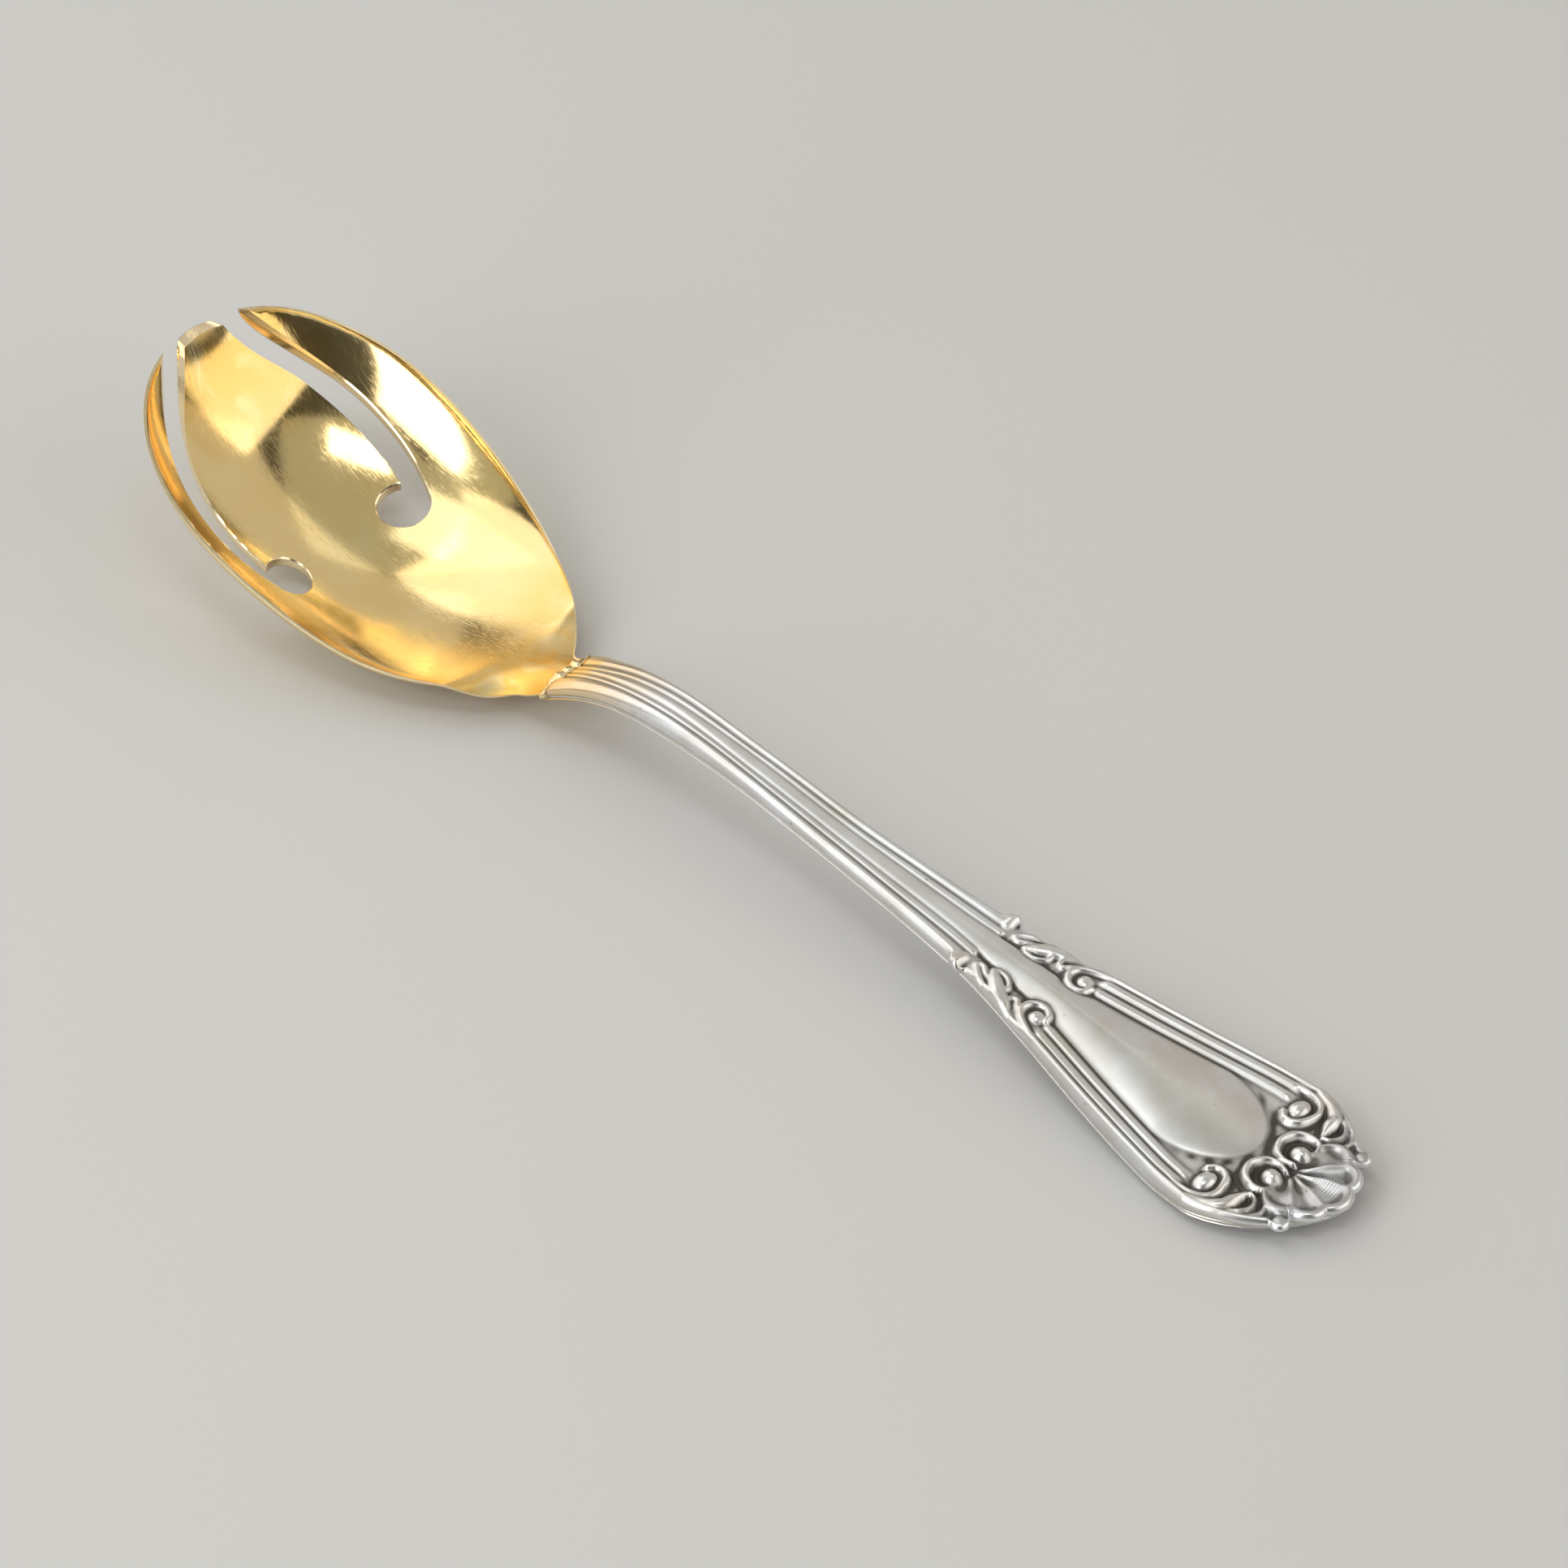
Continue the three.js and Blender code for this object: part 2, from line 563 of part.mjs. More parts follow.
// Solder line: a flat ribbon round both sides and the tail, between the edges of the shells
function seamSolder() {
  const places = handleStations();
  const route = [...places.map((x) => [x, 1]), ...places.toReversed().map((x) => [x, -1])];
  const rings = route.map(([x, side]) => {
    const outside = seamHalfWidth(x);
    const inside = outside - Math.min(SHELL_WALL, outside / 4);
    const setBack = SHELL_WALL * smoothstep(x, TAIL_X, END_X);
    const low = seamHeight(x) - SEAM_THICKNESS / 2;
    const high = low + SEAM_THICKNESS;
    return [
      [x, side * outside, low],
      [x, side * outside, high],
      [x - setBack, side * inside, high],
      [x - setBack, side * inside, low],
    ];
  });
  return ringSolid(rings);
}

// Cement: the hollow less its clearance, with a channel for the tang, open towards the front shell
function handleFiller() {
  const steps = 26;
  const start = NECK_X + FILLER_FROM_NECK;
  const end = CAVITY_END_X - FILLER_SHORT_OF_END;
  const inset = SHELL_WALL + FILLER_CLEARANCE;
  const rings = [];
  for (let i = 0; i <= steps; i += 1) {
    const x = lerp(start, end, i / steps);
    const half = seamHalfWidth(x) - inset;
    const high = faceLine(x) - inset;
    const low = backLine(x) + inset;
    const side = lerp(low, seamHeight(x), 0.2);
    rings.push([
      [x, -half * 0.75, side],
      [x, 0, low],
      [x, half * 0.75, side],
      [x, half * 0.97, seamHeight(x)],
      [x, half * 0.8, high],
      [x, -half * 0.8, high],
      [x, -half * 0.97, seamHeight(x)],
    ]);
  }
  return ringSolid(rings).subtract(tangSolid(TANG_CLEARANCE, BACK_SHELL_DEPTH));
}

const gilt = new THREE.MeshStandardMaterial({ color: 0xd9a94a, roughness: 0.22, metalness: 1 });
const silver = new THREE.MeshStandardMaterial({ color: 0xc9c7c2, roughness: 0.3, metalness: 1 });
const solder = new THREE.MeshStandardMaterial({ color: 0xb9b4a6, roughness: 0.4, metalness: 1 });
const cement = new THREE.MeshStandardMaterial({ color: 0x5b4636, roughness: 0.9, metalness: 0 });

const fork = new THREE.Group();

function addPiece(name, solid, material) {
  const { vertProperties, triVerts } = solid.getMesh();
  const geometry = new THREE.BufferGeometry();
  geometry.setAttribute('position', new THREE.BufferAttribute(vertProperties, 3));
  geometry.setIndex(new THREE.BufferAttribute(triVerts, 1));
  const mesh = new THREE.Mesh(geometry, material);
  mesh.name = name;
  fork.add(mesh);
}

addPiece('fork_bowl', forkBowl(), gilt);
addPiece('neck_solder', neckSolder(), solder);
addPiece('handle_front_shell', frontShell(), silver);
addPiece('handle_back_shell', backShell(), silver);
addPiece('seam_solder', seamSolder(), solder);
addPiece('handle_filler', handleFiller(), cement);

export default fork;
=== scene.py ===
import bpy
import numpy as np
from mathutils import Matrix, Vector
from mathutils.geometry import delaunay_2d_cdt


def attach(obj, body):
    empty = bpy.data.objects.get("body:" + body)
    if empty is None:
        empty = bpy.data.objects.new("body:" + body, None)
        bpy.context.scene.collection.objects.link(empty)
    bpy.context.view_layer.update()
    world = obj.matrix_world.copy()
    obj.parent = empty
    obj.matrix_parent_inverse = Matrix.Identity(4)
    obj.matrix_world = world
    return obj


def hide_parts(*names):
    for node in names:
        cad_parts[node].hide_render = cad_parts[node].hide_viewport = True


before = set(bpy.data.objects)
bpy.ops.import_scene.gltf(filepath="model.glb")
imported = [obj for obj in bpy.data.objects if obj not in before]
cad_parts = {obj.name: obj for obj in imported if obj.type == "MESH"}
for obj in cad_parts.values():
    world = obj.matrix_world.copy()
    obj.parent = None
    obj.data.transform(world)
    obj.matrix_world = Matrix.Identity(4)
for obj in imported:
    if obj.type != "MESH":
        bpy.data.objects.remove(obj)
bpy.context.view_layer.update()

# Camera. It looks down on the fork from the near side of the handle, as in the photograph,
# through a long lens that keeps the two sides of the fork almost parallel.
camera_data = bpy.data.cameras.new("camera")
camera_data.lens = 155.89
camera_data.sensor_width = 36
camera_data.sensor_fit = "HORIZONTAL"
camera = bpy.data.objects.new("camera", camera_data)
camera.location = (0.52146, -0.52124, 0.66520)
sight = Vector((-0.002, 0.011217, 0)) - camera.location
camera.rotation_euler = sight.to_track_quat("-Z", "Y").to_euler()
bpy.context.scene.collection.objects.link(camera)
bpy.context.scene.camera = camera

# Bowl. It is stamped from one sheet of silver, pierced with two hooked slots that end in oval eyes,
# ground flat along the rim and gilt all over. Its heel runs on into a tang inside the handle.
MM = 0.001
QUARTER = np.pi / 2
NECK = -36.5
HEEL = -43
FLOOR_LOW = -70
WIDEST = -87
TIP = -117.6
INSIDE_TIP = -115.4
HEEL_LENGTH = NECK - HEEL
NECK_HALF = 5.4
HEEL_HALF = 6.2
BOWL_HALF = 24.98
NECK_BACK = 4.95
FRONT_LENGTH = 29.75
BACK_LENGTH = 47.5
FRONT_FULLNESS = 2.15
BACK_FULLNESS = 1.85
INSIDE_FRONT = 30.1
OUTSIDE_FRONT = 30.6
RIM_LEVEL = 5.9
RIM_SLOPE = 0.39
RIM_CLIMB_START = -59
RIM_CLIMB_EASE = 7
RIM_DROP = 1.9
NECK_RISE = 2.425
TIP_LIFT = 0.6
FLOOR_FRONT = 46.8
FLOOR_BACK = 27
FLOOR_RISE = 36
FLOOR_NECK_RISE = 2.45
SHEET = 1.4
TINE_SHEET = 2.6
HEEL_SHEET = 3.4
LAND = 0.5
LEAST_LAND = 0.06
SLOT_BEND = -93.5
SLOT_END = -117.15
INSIDE_SLOT_END = -114.9
SLOT_CURVE = 50
TINE_AT_BEND = 14.75
TINE_AT_TIP = 3.4
SLOT_AT_BEND = 18.05
SLOT_AT_TIP = 5.95
EYE_X = -84.3
EYE_Y = 11.9
EYE_LONG = 4.25
EYE_WIDE = 3.4
EYE_MOUTH = -82.12
EYE_TURN = np.radians(16.8)
RIM_COUNT = 120
SLOT_COUNT = 46
EYE_COUNT = 46
TINE_COUNT = 50
TIP_COUNT = 17
SIDE_COUNT = RIM_COUNT + SLOT_COUNT + EYE_COUNT + TINE_COUNT
TANG_LINE = np.array([[-37.5, 6.3], [-36.5, 6.66], [-30, 10.06], [-22, 12.61], [-12, 13.5], [-2.5, 13.05]])
TANG_HALF = 2.5
TANG_HALF_THICK = 0.4
TANG_COUNT = 36


def ease(x, start, end):
    """A smooth step from 0 at start to 1 at end."""
    s = np.clip((x - start) / (end - start), 0, 1)
    return s * s * (3 - 2 * s)


def blend(first, last, share):
    return first + (last - first) * share


def egg(s, fullness):
    """An outline that is 1 in the middle and rounds off to 0 at its end."""
    return (1 - np.clip(np.abs(s), 0, 1) ** fullness) ** (1 / fullness)


def heel_share(x):
    return np.clip((x - HEEL) / HEEL_LENGTH, 0, 1)


def bowl_half(x, land, front):
    """Half the width of the bowl in plan, less the ground land, for a front of that length."""
    heel = blend(HEEL_HALF, NECK_HALF, heel_share(x)) - land
    ahead = (BOWL_HALF - land) * egg((WIDEST - x) / front, FRONT_FULLNESS)
    behind = (BOWL_HALF - land) * egg((x - WIDEST) / BACK_LENGTH, BACK_FULLNESS)
    return np.where(x < WIDEST, ahead, (behind**8 + heel**8) ** 0.125)


def near_heel(x):
    return ease(x, HEEL - HEEL_LENGTH, HEEL)


def tip_lift(x):
    return TIP_LIFT * ease(-x, 104, 115)


def rim_height(x):
    run = RIM_CLIMB_START - x
    climb = RIM_SLOPE * (run + np.hypot(run, RIM_CLIMB_EASE)) / 2
    drop = RIM_DROP * near_heel(x)
    lift = NECK_RISE * heel_share(x) ** 2 + tip_lift(x)
    return RIM_LEVEL + climb - drop + lift


def floor_height(x):
    ahead = np.clip((FLOOR_LOW - x) / FLOOR_FRONT, 0, 1)
    behind = np.clip((x - FLOOR_LOW) / FLOOR_BACK, 0, 1)
    front = SHEET + FLOOR_RISE * (1 - np.sqrt(1 - ahead**2)) + tip_lift(x)
    heel = heel_share(x)
    back = blend(SHEET, RIM_LEVEL, behind**1.7) + FLOOR_NECK_RISE * heel * (0.75 + 0.25 * heel)
    return np.where(x < FLOOR_LOW, front, back)


def underside_height(x):
    """The underside lies a sheet below the floor, and no higher than the rim."""
    slope = (floor_height(x + 0.05) - floor_height(x - 0.05)) / 0.1
    sheet = blend(SHEET, HEEL_SHEET, near_heel(x))
    under = floor_height(x) - sheet * np.minimum(np.hypot(1, slope), 2) - 0.12
    behind = np.where(x < WIDEST, floor_height(x + TINE_SHEET), np.inf)
    under = np.minimum(np.minimum(under, behind), rim_height(x))
    heel = blend(RIM_LEVEL - HEEL_SHEET, NECK_BACK, heel_share(x) ** 1.5)
    return np.where(x > HEEL, heel, under)


def rim_land(x, inside):
    """Width of the ground land, which the inside stands back by."""
    return np.maximum(LAND * (1 - heel_share(x)), LEAST_LAND) if inside else 0 * x


def skin_half(x, inside):
    return bowl_half(x, rim_land(x, inside), INSIDE_FRONT if inside else OUTSIDE_FRONT)


def edge_half(x, inside):
    return bowl_half(x, rim_land(x, inside), FRONT_LENGTH - LAND if inside else FRONT_LENGTH)


def bowl_skin(along, turn, inside):
    """Points of the bowl's inside or outside: along runs from the tips to the neck, turn from rim to rim."""
    x = blend(INSIDE_TIP if inside else TIP, NECK, along)
    rim = rim_height(x) - (0 if inside else 0.3 * (1 - heel_share(x)))
    floor = np.where(x < WIDEST, np.minimum(floor_height(x), rim), floor_height(x))
    middle = floor if inside else np.minimum(underside_height(x), rim)
    y = skin_half(x, inside) * np.sin(turn)
    ground = np.maximum(edge_half(x, inside), 5)
    roundness = blend(0.7, 1.15, ease(x, -53, -44))
    z = blend(rim, middle, np.maximum(1 - (y / ground) ** 2, 0) ** roundness)
    return np.stack([x, y, z if inside else np.maximum(z, 0)], -1)


def unit(vectors):
    return vectors / np.maximum(np.linalg.norm(vectors, axis=-1, keepdims=True), 1e-12)


def skin_normals(along, turn, inside):
    step = 2e-4
    along = np.clip(along, 0.006, 0.998)
    turn = np.clip(turn, 0.03 - QUARTER, QUARTER - 0.03)
    lengthwise = bowl_skin(along + step, turn, inside) - bowl_skin(along - step, turn, inside)
    crosswise = bowl_skin(along, turn + step, inside) - bowl_skin(along, turn - step, inside)
    return unit(np.cross(lengthwise, crosswise)) * (1 if inside else -1)


def slot_side(x, at_bend, at_tip):
    """Distance out of one side of a slot, which bends round the middle tine and closes in on its tip."""
    share = np.clip((SLOT_BEND - x) / (SLOT_BEND - SLOT_END), 0, 1.1)
    behind = at_bend - (x - SLOT_BEND) ** 2 / SLOT_CURVE
    return np.where(x > SLOT_BEND, behind, blend(at_bend, at_tip, share**2.3))


def slot_edge(x):
    return slot_side(x, SLOT_AT_BEND, SLOT_AT_TIP)


def meeting(gap, low, high):
    """The place between low and high where gap changes from negative to positive."""
    for _ in range(60):
        middle = (low + high) / 2
        low, high = (middle, high) if gap(middle) < 0 else (low, middle)
    return middle


def bowl_edge(inside):
    """Outline of one skin in plan, from the heel round the left tine, slot, tip, right tine and heel."""
    set_back = 0.2 if inside else 0
    tip = INSIDE_SLOT_END if inside else SLOT_END

    def tine_side(x):
        back = set_back + 1.6 * ease(-x, 106, -INSIDE_SLOT_END) if inside else 0
        return slot_side(x, TINE_AT_BEND, TINE_AT_TIP) - back

    def in_eye(x, y):
        """A place measured along and across the oval eye, which lies at 45 degrees."""
        u, v = x - EYE_X + y - EYE_Y, EYE_X - x + y - EYE_Y
        return u / np.sqrt(2) / (EYE_LONG + set_back), v / np.sqrt(2) / (EYE_WIDE + set_back)

    def rim_gap(x):
        return edge_half(x, inside) - slot_edge(x) - set_back

    def eye_gap(x):
        return 1 - np.hypot(*in_eye(x, tine_side(x)))

    mouth = meeting(rim_gap, -115 if inside else -116.7, -105)
    cusp = meeting(eye_gap, -92, -85.5)
    rim_x = blend(NECK, mouth, 0.5 - 0.5 * np.cos(np.linspace(0, np.pi, RIM_COUNT, endpoint=False)))
    slot_x = blend(mouth, EYE_MOUTH, np.linspace(0, 1, SLOT_COUNT, endpoint=False) ** 1.3)
    round_to = np.arctan2(*in_eye(cusp, tine_side(cusp))[::-1]) - 2 * np.pi
    turns = np.linspace(EYE_TURN, round_to, EYE_COUNT, endpoint=False)
    tine_x = blend(cusp, tip, 1 - (1 - np.linspace(0, 1, TINE_COUNT, endpoint=False)) ** 1.5)
    eye_u = (EYE_LONG + set_back) * np.cos(turns) / np.sqrt(2)
    eye_v = (EYE_WIDE + set_back) * np.sin(turns) / np.sqrt(2)
    left = np.concatenate([
        np.stack([rim_x, edge_half(rim_x, inside)], -1),
        np.stack([slot_x, slot_edge(slot_x) + set_back], -1),
        np.stack([EYE_X + eye_u - eye_v, EYE_Y + eye_u + eye_v], -1),
        np.stack([tine_x, tine_side(tine_x)], -1),
    ])
    tip_y = np.linspace(1, -1, TIP_COUNT)
    ends = np.stack([tip - 0.25 * (1 - tip_y**2), tine_side(tip) * tip_y], -1)
    heel_y = np.sin(np.linspace(-QUARTER, QUARTER, 35)[1:-1])
    heel = np.stack([NECK + 0 * heel_y, edge_half(NECK, inside) * heel_y], -1)
    return np.concatenate([left, ends, left[::-1] * (1, -1), heel])


def skin_place(plan, inside):
    """The along and turn of a place in plan."""
    x, y = plan.T
    start = INSIDE_TIP if inside else TIP
    return (x - start) / (NECK - start), np.arcsin(np.clip(y / skin_half(x, inside), -1, 1))


def fill_skin(edge):
    """Triangles inside an outline of along and turn, with a fine net of points between."""
    stretch = np.array([NECK - TIP, 16])
    ring = np.stack(edge, -1) * stretch
    net_u, net_v = np.meshgrid(np.arange(0.3, 81, 0.9), np.arange(-25, 25.1, 0.8))
    net = np.stack([net_u.ravel(), net_v.ravel()], -1)
    start, end = ring, np.roll(ring, -1, 0)
    run = end - start
    offset = net[:, None] - start[None]
    share = np.clip((offset * run).sum(-1) / np.maximum((run * run).sum(-1), 1e-9), 0, 1)
    clear = np.linalg.norm(offset - share[..., None] * run, axis=-1).min(1) > 0.4
    above = (start[None, :, 1] > net[:, None, 1]) != (end[None, :, 1] > net[:, None, 1])
    rise = np.where(np.abs(run[:, 1]) < 1e-9, 1e-9, run[:, 1])
    crossing = start[:, 0] + (net[:, None, 1] - start[:, 1]) / rise * run[:, 0]
    within = (above & (net[:, None, 0] < crossing)).sum(1) % 2 == 1
    points = np.concatenate([ring, net[clear & within]])
    result = delaunay_2d_cdt(points.tolist(), [], [list(range(len(ring)))], 1, 1e-6)
    placed = np.array([tuple(v) for v in result[0]]) / stretch
    first = [source[0] if source else -1 for source in result[3]]
    order = {source: i for i, source in enumerate(first) if source >= 0}
    loop = [order[i] for i in range(len(ring))]
    return placed[:, 0], placed[:, 1], [tuple(face) for face in result[2]], loop


def make_piece(name, points, faces, normals=None):
    """A smooth-shaded piece from points in millimetres, riding on the one body."""
    mesh = bpy.data.meshes.new(name)
    mesh.from_pydata((np.asarray(points) * MM).tolist(), [], faces)
    mesh.shade_smooth()
    if normals is not None:
        mesh.normals_split_custom_set_from_vertices(normals.tolist())
    piece = bpy.data.objects.new(name, mesh)
    bpy.context.scene.collection.objects.link(piece)
    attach(piece, "root")
    return piece


def quads(*corners):
    """Four-sided faces from four arrays of points."""
    return [tuple(face) for face in np.stack(corners, -1).reshape(-1, 4).tolist()]


def build_bowl():
    """Points, faces and normals of both skins and the ground edge between them, and the edge's points."""
    points, normals, faces, loops = [], [], [], []
    count = 0
    for inside in (True, False):
        along, turn, triangles, loop = fill_skin(skin_place(bowl_edge(inside), inside))
        points.append(bowl_skin(along, turn, inside))
        normals.append(skin_normals(along, turn, inside))
        faces += [tuple(i + count for i in (f if inside else f[::-1])) for f in triangles]
        loops.append(np.array(loop) + count)
        count += len(along)
    skin = np.concatenate(points)
    inner, outer = skin[loops[0]], skin[loops[1]]
    corner = outer.copy()
    spots = np.arange(len(inner))
    heel_start = 2 * SIDE_COUNT + TIP_COUNT
    slot = (spots >= RIM_COUNT) & (spots < SIDE_COUNT)
    slot |= slot[(heel_start - 1 - spots) % len(spots)]
    corner[:, 2] = np.where(slot, inner[:, 2] - 0.08, np.maximum(outer[:, 2] + 0.3, inner[:, 2] - 0.45))
    tip = slice(SIDE_COUNT, SIDE_COUNT + TIP_COUNT)
    corner[tip, 2] = inner[tip, 2] - 0.02
    corner[heel_start:] = blend(inner[heel_start:], outer[heel_start:], 0.15)
    tangent = unit(np.roll(outer, -1, 0) - np.roll(outer, 1, 0))
    land_normal = unit(np.cross(tangent, corner - inner) * -1)
    wall_normal = unit(np.cross(tangent, outer - corner) * -1)
    rows = [
        (blend(inner, corner, 0.04), land_normal),
        (blend(inner, corner, 0.92), land_normal),
        (blend(corner, outer, 0.12), wall_normal),
        (blend(corner, outer, 0.9), wall_normal),
    ]
    rings = [loops[0]]
    for row, normal in rows:
        points.append(row)
        normals.append(normal)
        rings.append(np.arange(len(row)) + count)
        count += len(row)
    rings.append(loops[1])
    for upper, lower in zip(rings, rings[1:]):
        faces += quads(upper, lower, np.roll(lower, -1), np.roll(upper, -1))
    return np.concatenate(points), faces, np.concatenate(normals), np.concatenate(rings[1:-1])


def curve_through(places, values):
    """A smooth curve through measured places."""
    slopes = np.empty(len(places))
    slopes[1:-1] = (values[2:] - values[:-2]) / (places[2:] - places[:-2])
    slopes[0] = (values[1] - values[0]) / (places[1] - places[0])
    slopes[-1] = (values[-1] - values[-2]) / (places[-1] - places[-2])

    def curve(x):
        x = np.clip(x, places[0], places[-1])
        i = np.clip(np.searchsorted(places, x) - 1, 0, len(places) - 2)
        span = places[i + 1] - places[i]
        s = (x - places[i]) / span
        start = values[i] * (1 + 2 * s) + slopes[i] * span * s
        end = values[i + 1] * (3 - 2 * s) - slopes[i + 1] * span * (1 - s)
        return start * (1 - s) ** 2 + end * s * s

    return curve


def tube(rings):
    """Faces of a closed tube through rings of points that run the same way round."""
    count, sides = rings.shape[:2]
    grid = np.arange(count * sides).reshape(count, sides)
    ahead = np.roll(grid, -1, 1)
    faces = quads(grid[:-1], ahead[:-1], ahead[1:], grid[1:])
    faces += [tuple(grid[0, ::-1].tolist()), tuple(grid[-1].tolist())]
    return rings.reshape(-1, 3), faces


def add_tang(points, faces, normals, rim_points):
    """A flat tang that runs from the heel on into the handle."""
    x = np.linspace(TANG_LINE[0, 0], TANG_LINE[-1, 0], TANG_COUNT)
    middle = curve_through(*TANG_LINE.T)(x)
    rings = np.empty((TANG_COUNT, 4, 3))
    outward = np.empty((TANG_COUNT, 4, 3))
    for corner, (side, rise) in enumerate(((-1, -1), (1, -1), (1, 1), (-1, 1))):
        rings[:, corner] = np.stack([x, 0 * x + TANG_HALF * side, middle + TANG_HALF_THICK * rise], -1)
        outward[:, corner] = unit(np.array([0.0, side, rise]))
    count = len(points)
    strip = [tuple(i + count for i in face) for face in tube(rings)[1]]
    return (np.concatenate([points, rings.reshape(-1, 3)]), faces + strip,
            np.concatenate([normals, outward.reshape(-1, 3)]), rim_points)


bowl_points, bowl_faces, bowl_normals, rim_points = add_tang(*build_bowl())
bowl = make_piece("bowl", bowl_points, bowl_faces, bowl_normals)
# Painted highlight: the ground rim land and the edge wall below it are painted a paler gold.
rim_sheen = np.zeros(len(bowl_points))
rim_sheen[rim_points] = 0.55
bowl.data.attributes.new("rim_sheen", "FLOAT", "POINT").data.foreach_set("value", rim_sheen)
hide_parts("fork_bowl")


def add_node(nodes, kind, sockets=(), **settings):
    node = nodes.new("ShaderNode" + kind)
    for key, value in settings.items():
        setattr(node, key, value)
    for key, value in dict(sockets).items():
        if isinstance(value, bpy.types.NodeSocket):
            nodes.id_data.links.new(value, node.inputs[key])
        else:
            node.inputs[key].default_value = value
    return node


def new_finish(name, metallic=1):
    """A finish to add detail to: its nodes, its shader and the place on the piece."""
    finish = bpy.data.materials.new(name)
    finish.use_nodes = True
    nodes = finish.node_tree.nodes
    shader = nodes["Principled BSDF"]
    shader.inputs["Metallic"].default_value = metallic
    return finish, nodes, shader, add_node(nodes, "TexCoord").outputs["Object"]


def add_noise(nodes, place, scale, detail, **sockets):
    sockets = {"Vector": place, "Scale": scale, "Detail": detail, **sockets}
    return add_node(nodes, "TexNoise", sockets).outputs["Fac"]


def add_range(nodes, value, start, end, low=0, high=1):
    """A value that goes from low to high as another goes from start to end."""
    sockets = {"Value": value, "From Min": start, "From Max": end, "To Min": low, "To Max": high}
    return add_node(nodes, "MapRange", sockets).outputs["Result"]


def add_math(nodes, operation, *values):
    return add_node(nodes, "Math", enumerate(values), operation=operation).outputs["Value"]


def add_distance(nodes, place, spot):
    return add_node(nodes, "VectorMath", {0: place, 1: spot}, operation="DISTANCE").outputs["Value"]


def add_ramp(nodes, value, dark, light, start=0, end=1):
    """A colour that goes from dark to light as a value goes from start to end."""
    ramp = add_node(nodes, "ValToRGB", {"Fac": value})
    for stop, position, colour in zip(ramp.color_ramp.elements, (start, end), (dark, light)):
        stop.position = position
        stop.color = (*colour, 1)
    return ramp.outputs["Color"]


def add_coat(nodes, share, under, over):
    """A colour with another laid over it by a share."""
    return add_node(nodes, "Mix", {0: share, 6: under, 7: (*over, 1)}, data_type="RGBA").outputs[2]


def feed(shader, socket, value):
    shader.id_data.links.new(value, shader.inputs[socket])


WARM_GOLD = 0.95, 0.7, 0.31
PALE_GOLD = 0.97, 0.78, 0.42
DEEP_GOLD = 0.95, 0.59, 0.14
SMUDGE = 0.3, 0.17, 0.05
BROWN_GOLD = 0.9, 0.57, 0.16
# The palest gold below is a painted highlight on the ground rim land.
SHEEN_GOLD = 0.97, 0.87, 0.68
gilding, nodes, shader, place = new_finish("gilding")
cloud = add_noise(nodes, place, 55, 4, Roughness=0.6)
tone = add_ramp(nodes, cloud, WARM_GOLD, PALE_GOLD, 0.35, 0.7)
along_x = add_node(nodes, "SeparateXYZ", {"Vector": place}).outputs["X"]
patch = add_range(nodes, add_noise(nodes, place, 130, 3, Distortion=0.6), 0.38, 0.56)
to_heel = add_range(nodes, along_x, -0.06, -0.042)
deep = add_coat(nodes, add_math(nodes, "MULTIPLY", to_heel, patch), tone, DEEP_GOLD)
smudge = add_range(nodes, add_distance(nodes, place, (-0.1136, 0.0005, 0.0255)), 0.001, 0.0038, 0.4, 0)
smudged = add_coat(nodes, add_math(nodes, "MULTIPLY", smudge, patch), deep, SMUDGE)
to_tips = add_range(nodes, along_x, -0.101, -0.112, 0, 0.85)
browned = add_coat(nodes, add_math(nodes, "MULTIPLY", to_tips, patch), smudged, BROWN_GOLD)
# Painted highlight: the ground rim land is mixed towards a pale gold.
rim_sheen_share = add_node(nodes, "Attribute", attribute_name="rim_sheen").outputs["Fac"]
feed(shader, "Base Color", add_coat(nodes, rim_sheen_share, browned, SHEEN_GOLD))
scratches = 0
for turn in (0.35, 1.25, 2.3):
    lay = add_node(nodes, "Mapping", {"Vector": place, "Rotation": (0, 0, turn), "Scale": (600, 5000, 600)})
    lines = add_range(nodes, add_noise(nodes, lay.outputs["Vector"], 1, 2), 0.57, 0.7)
    scratches = add_math(nodes, "ADD", scratches, lines)
scored = add_node(nodes, "Bump", {"Height": scratches, "Strength": 0.1, "Distance": 0.00002}, invert=True)
feed(shader, "Normal", scored.outputs["Normal"])
smear = add_range(nodes, cloud, 0.3, 0.7, 0.08, 0.15)
satin = add_math(nodes, "MULTIPLY_ADD", to_heel, 0.2, smear)
feed(shader, "Roughness", add_math(nodes, "MULTIPLY_ADD", scratches, 0.05, satin))
bowl.data.materials.append(gilding)

# Back half of the handle. It is raised from thin silver sheet, plain and rounded across, and its edge
# is soldered to the struck front half. The tail end is nearly flat, where it rests on the table.
TAIL = 100
SHELL_START = -35.1
WALL = 0.5
SEAM_ROOM = 0.3
TAIL_HALF = 15
TAIL_LENGTH = 17.5
TAIL_FULLNESS = 1.65
SIDE_VIEW = np.array([
    [-36.5, 4.95, 7.9], [-30, 8.2, 11.4], [-22, 10.7, 14], [-12, 11.35, 15.05], [4, 10.6, 13.9],
    [22, 8.8, 11.75], [46, 6.5, 9.55], [64, 3.7, 7.35], [78, 1.35, 5.6], [93, -0.12, 4.3],
    [103, 0.5, 3.85], [117.5, 2.2, 3.5],
])
PLAN_VIEW = np.array([[-36.5, 5.75], [-26, 4.35], [8, 3.75], [49, 5.85], [64, 8.7], [92, 14.1], [100, 15]])
BACK_COLUMNS = 24
BACK_TURNS = 48
HOLLOW_COLUMNS = 8
HOLLOW_TURNS = 16
back_line = curve_through(SIDE_VIEW[:, 0], SIDE_VIEW[:, 1])
face_line = curve_through(SIDE_VIEW[:, 0], SIDE_VIEW[:, 2])
plan_line = curve_through(*PLAN_VIEW.T)


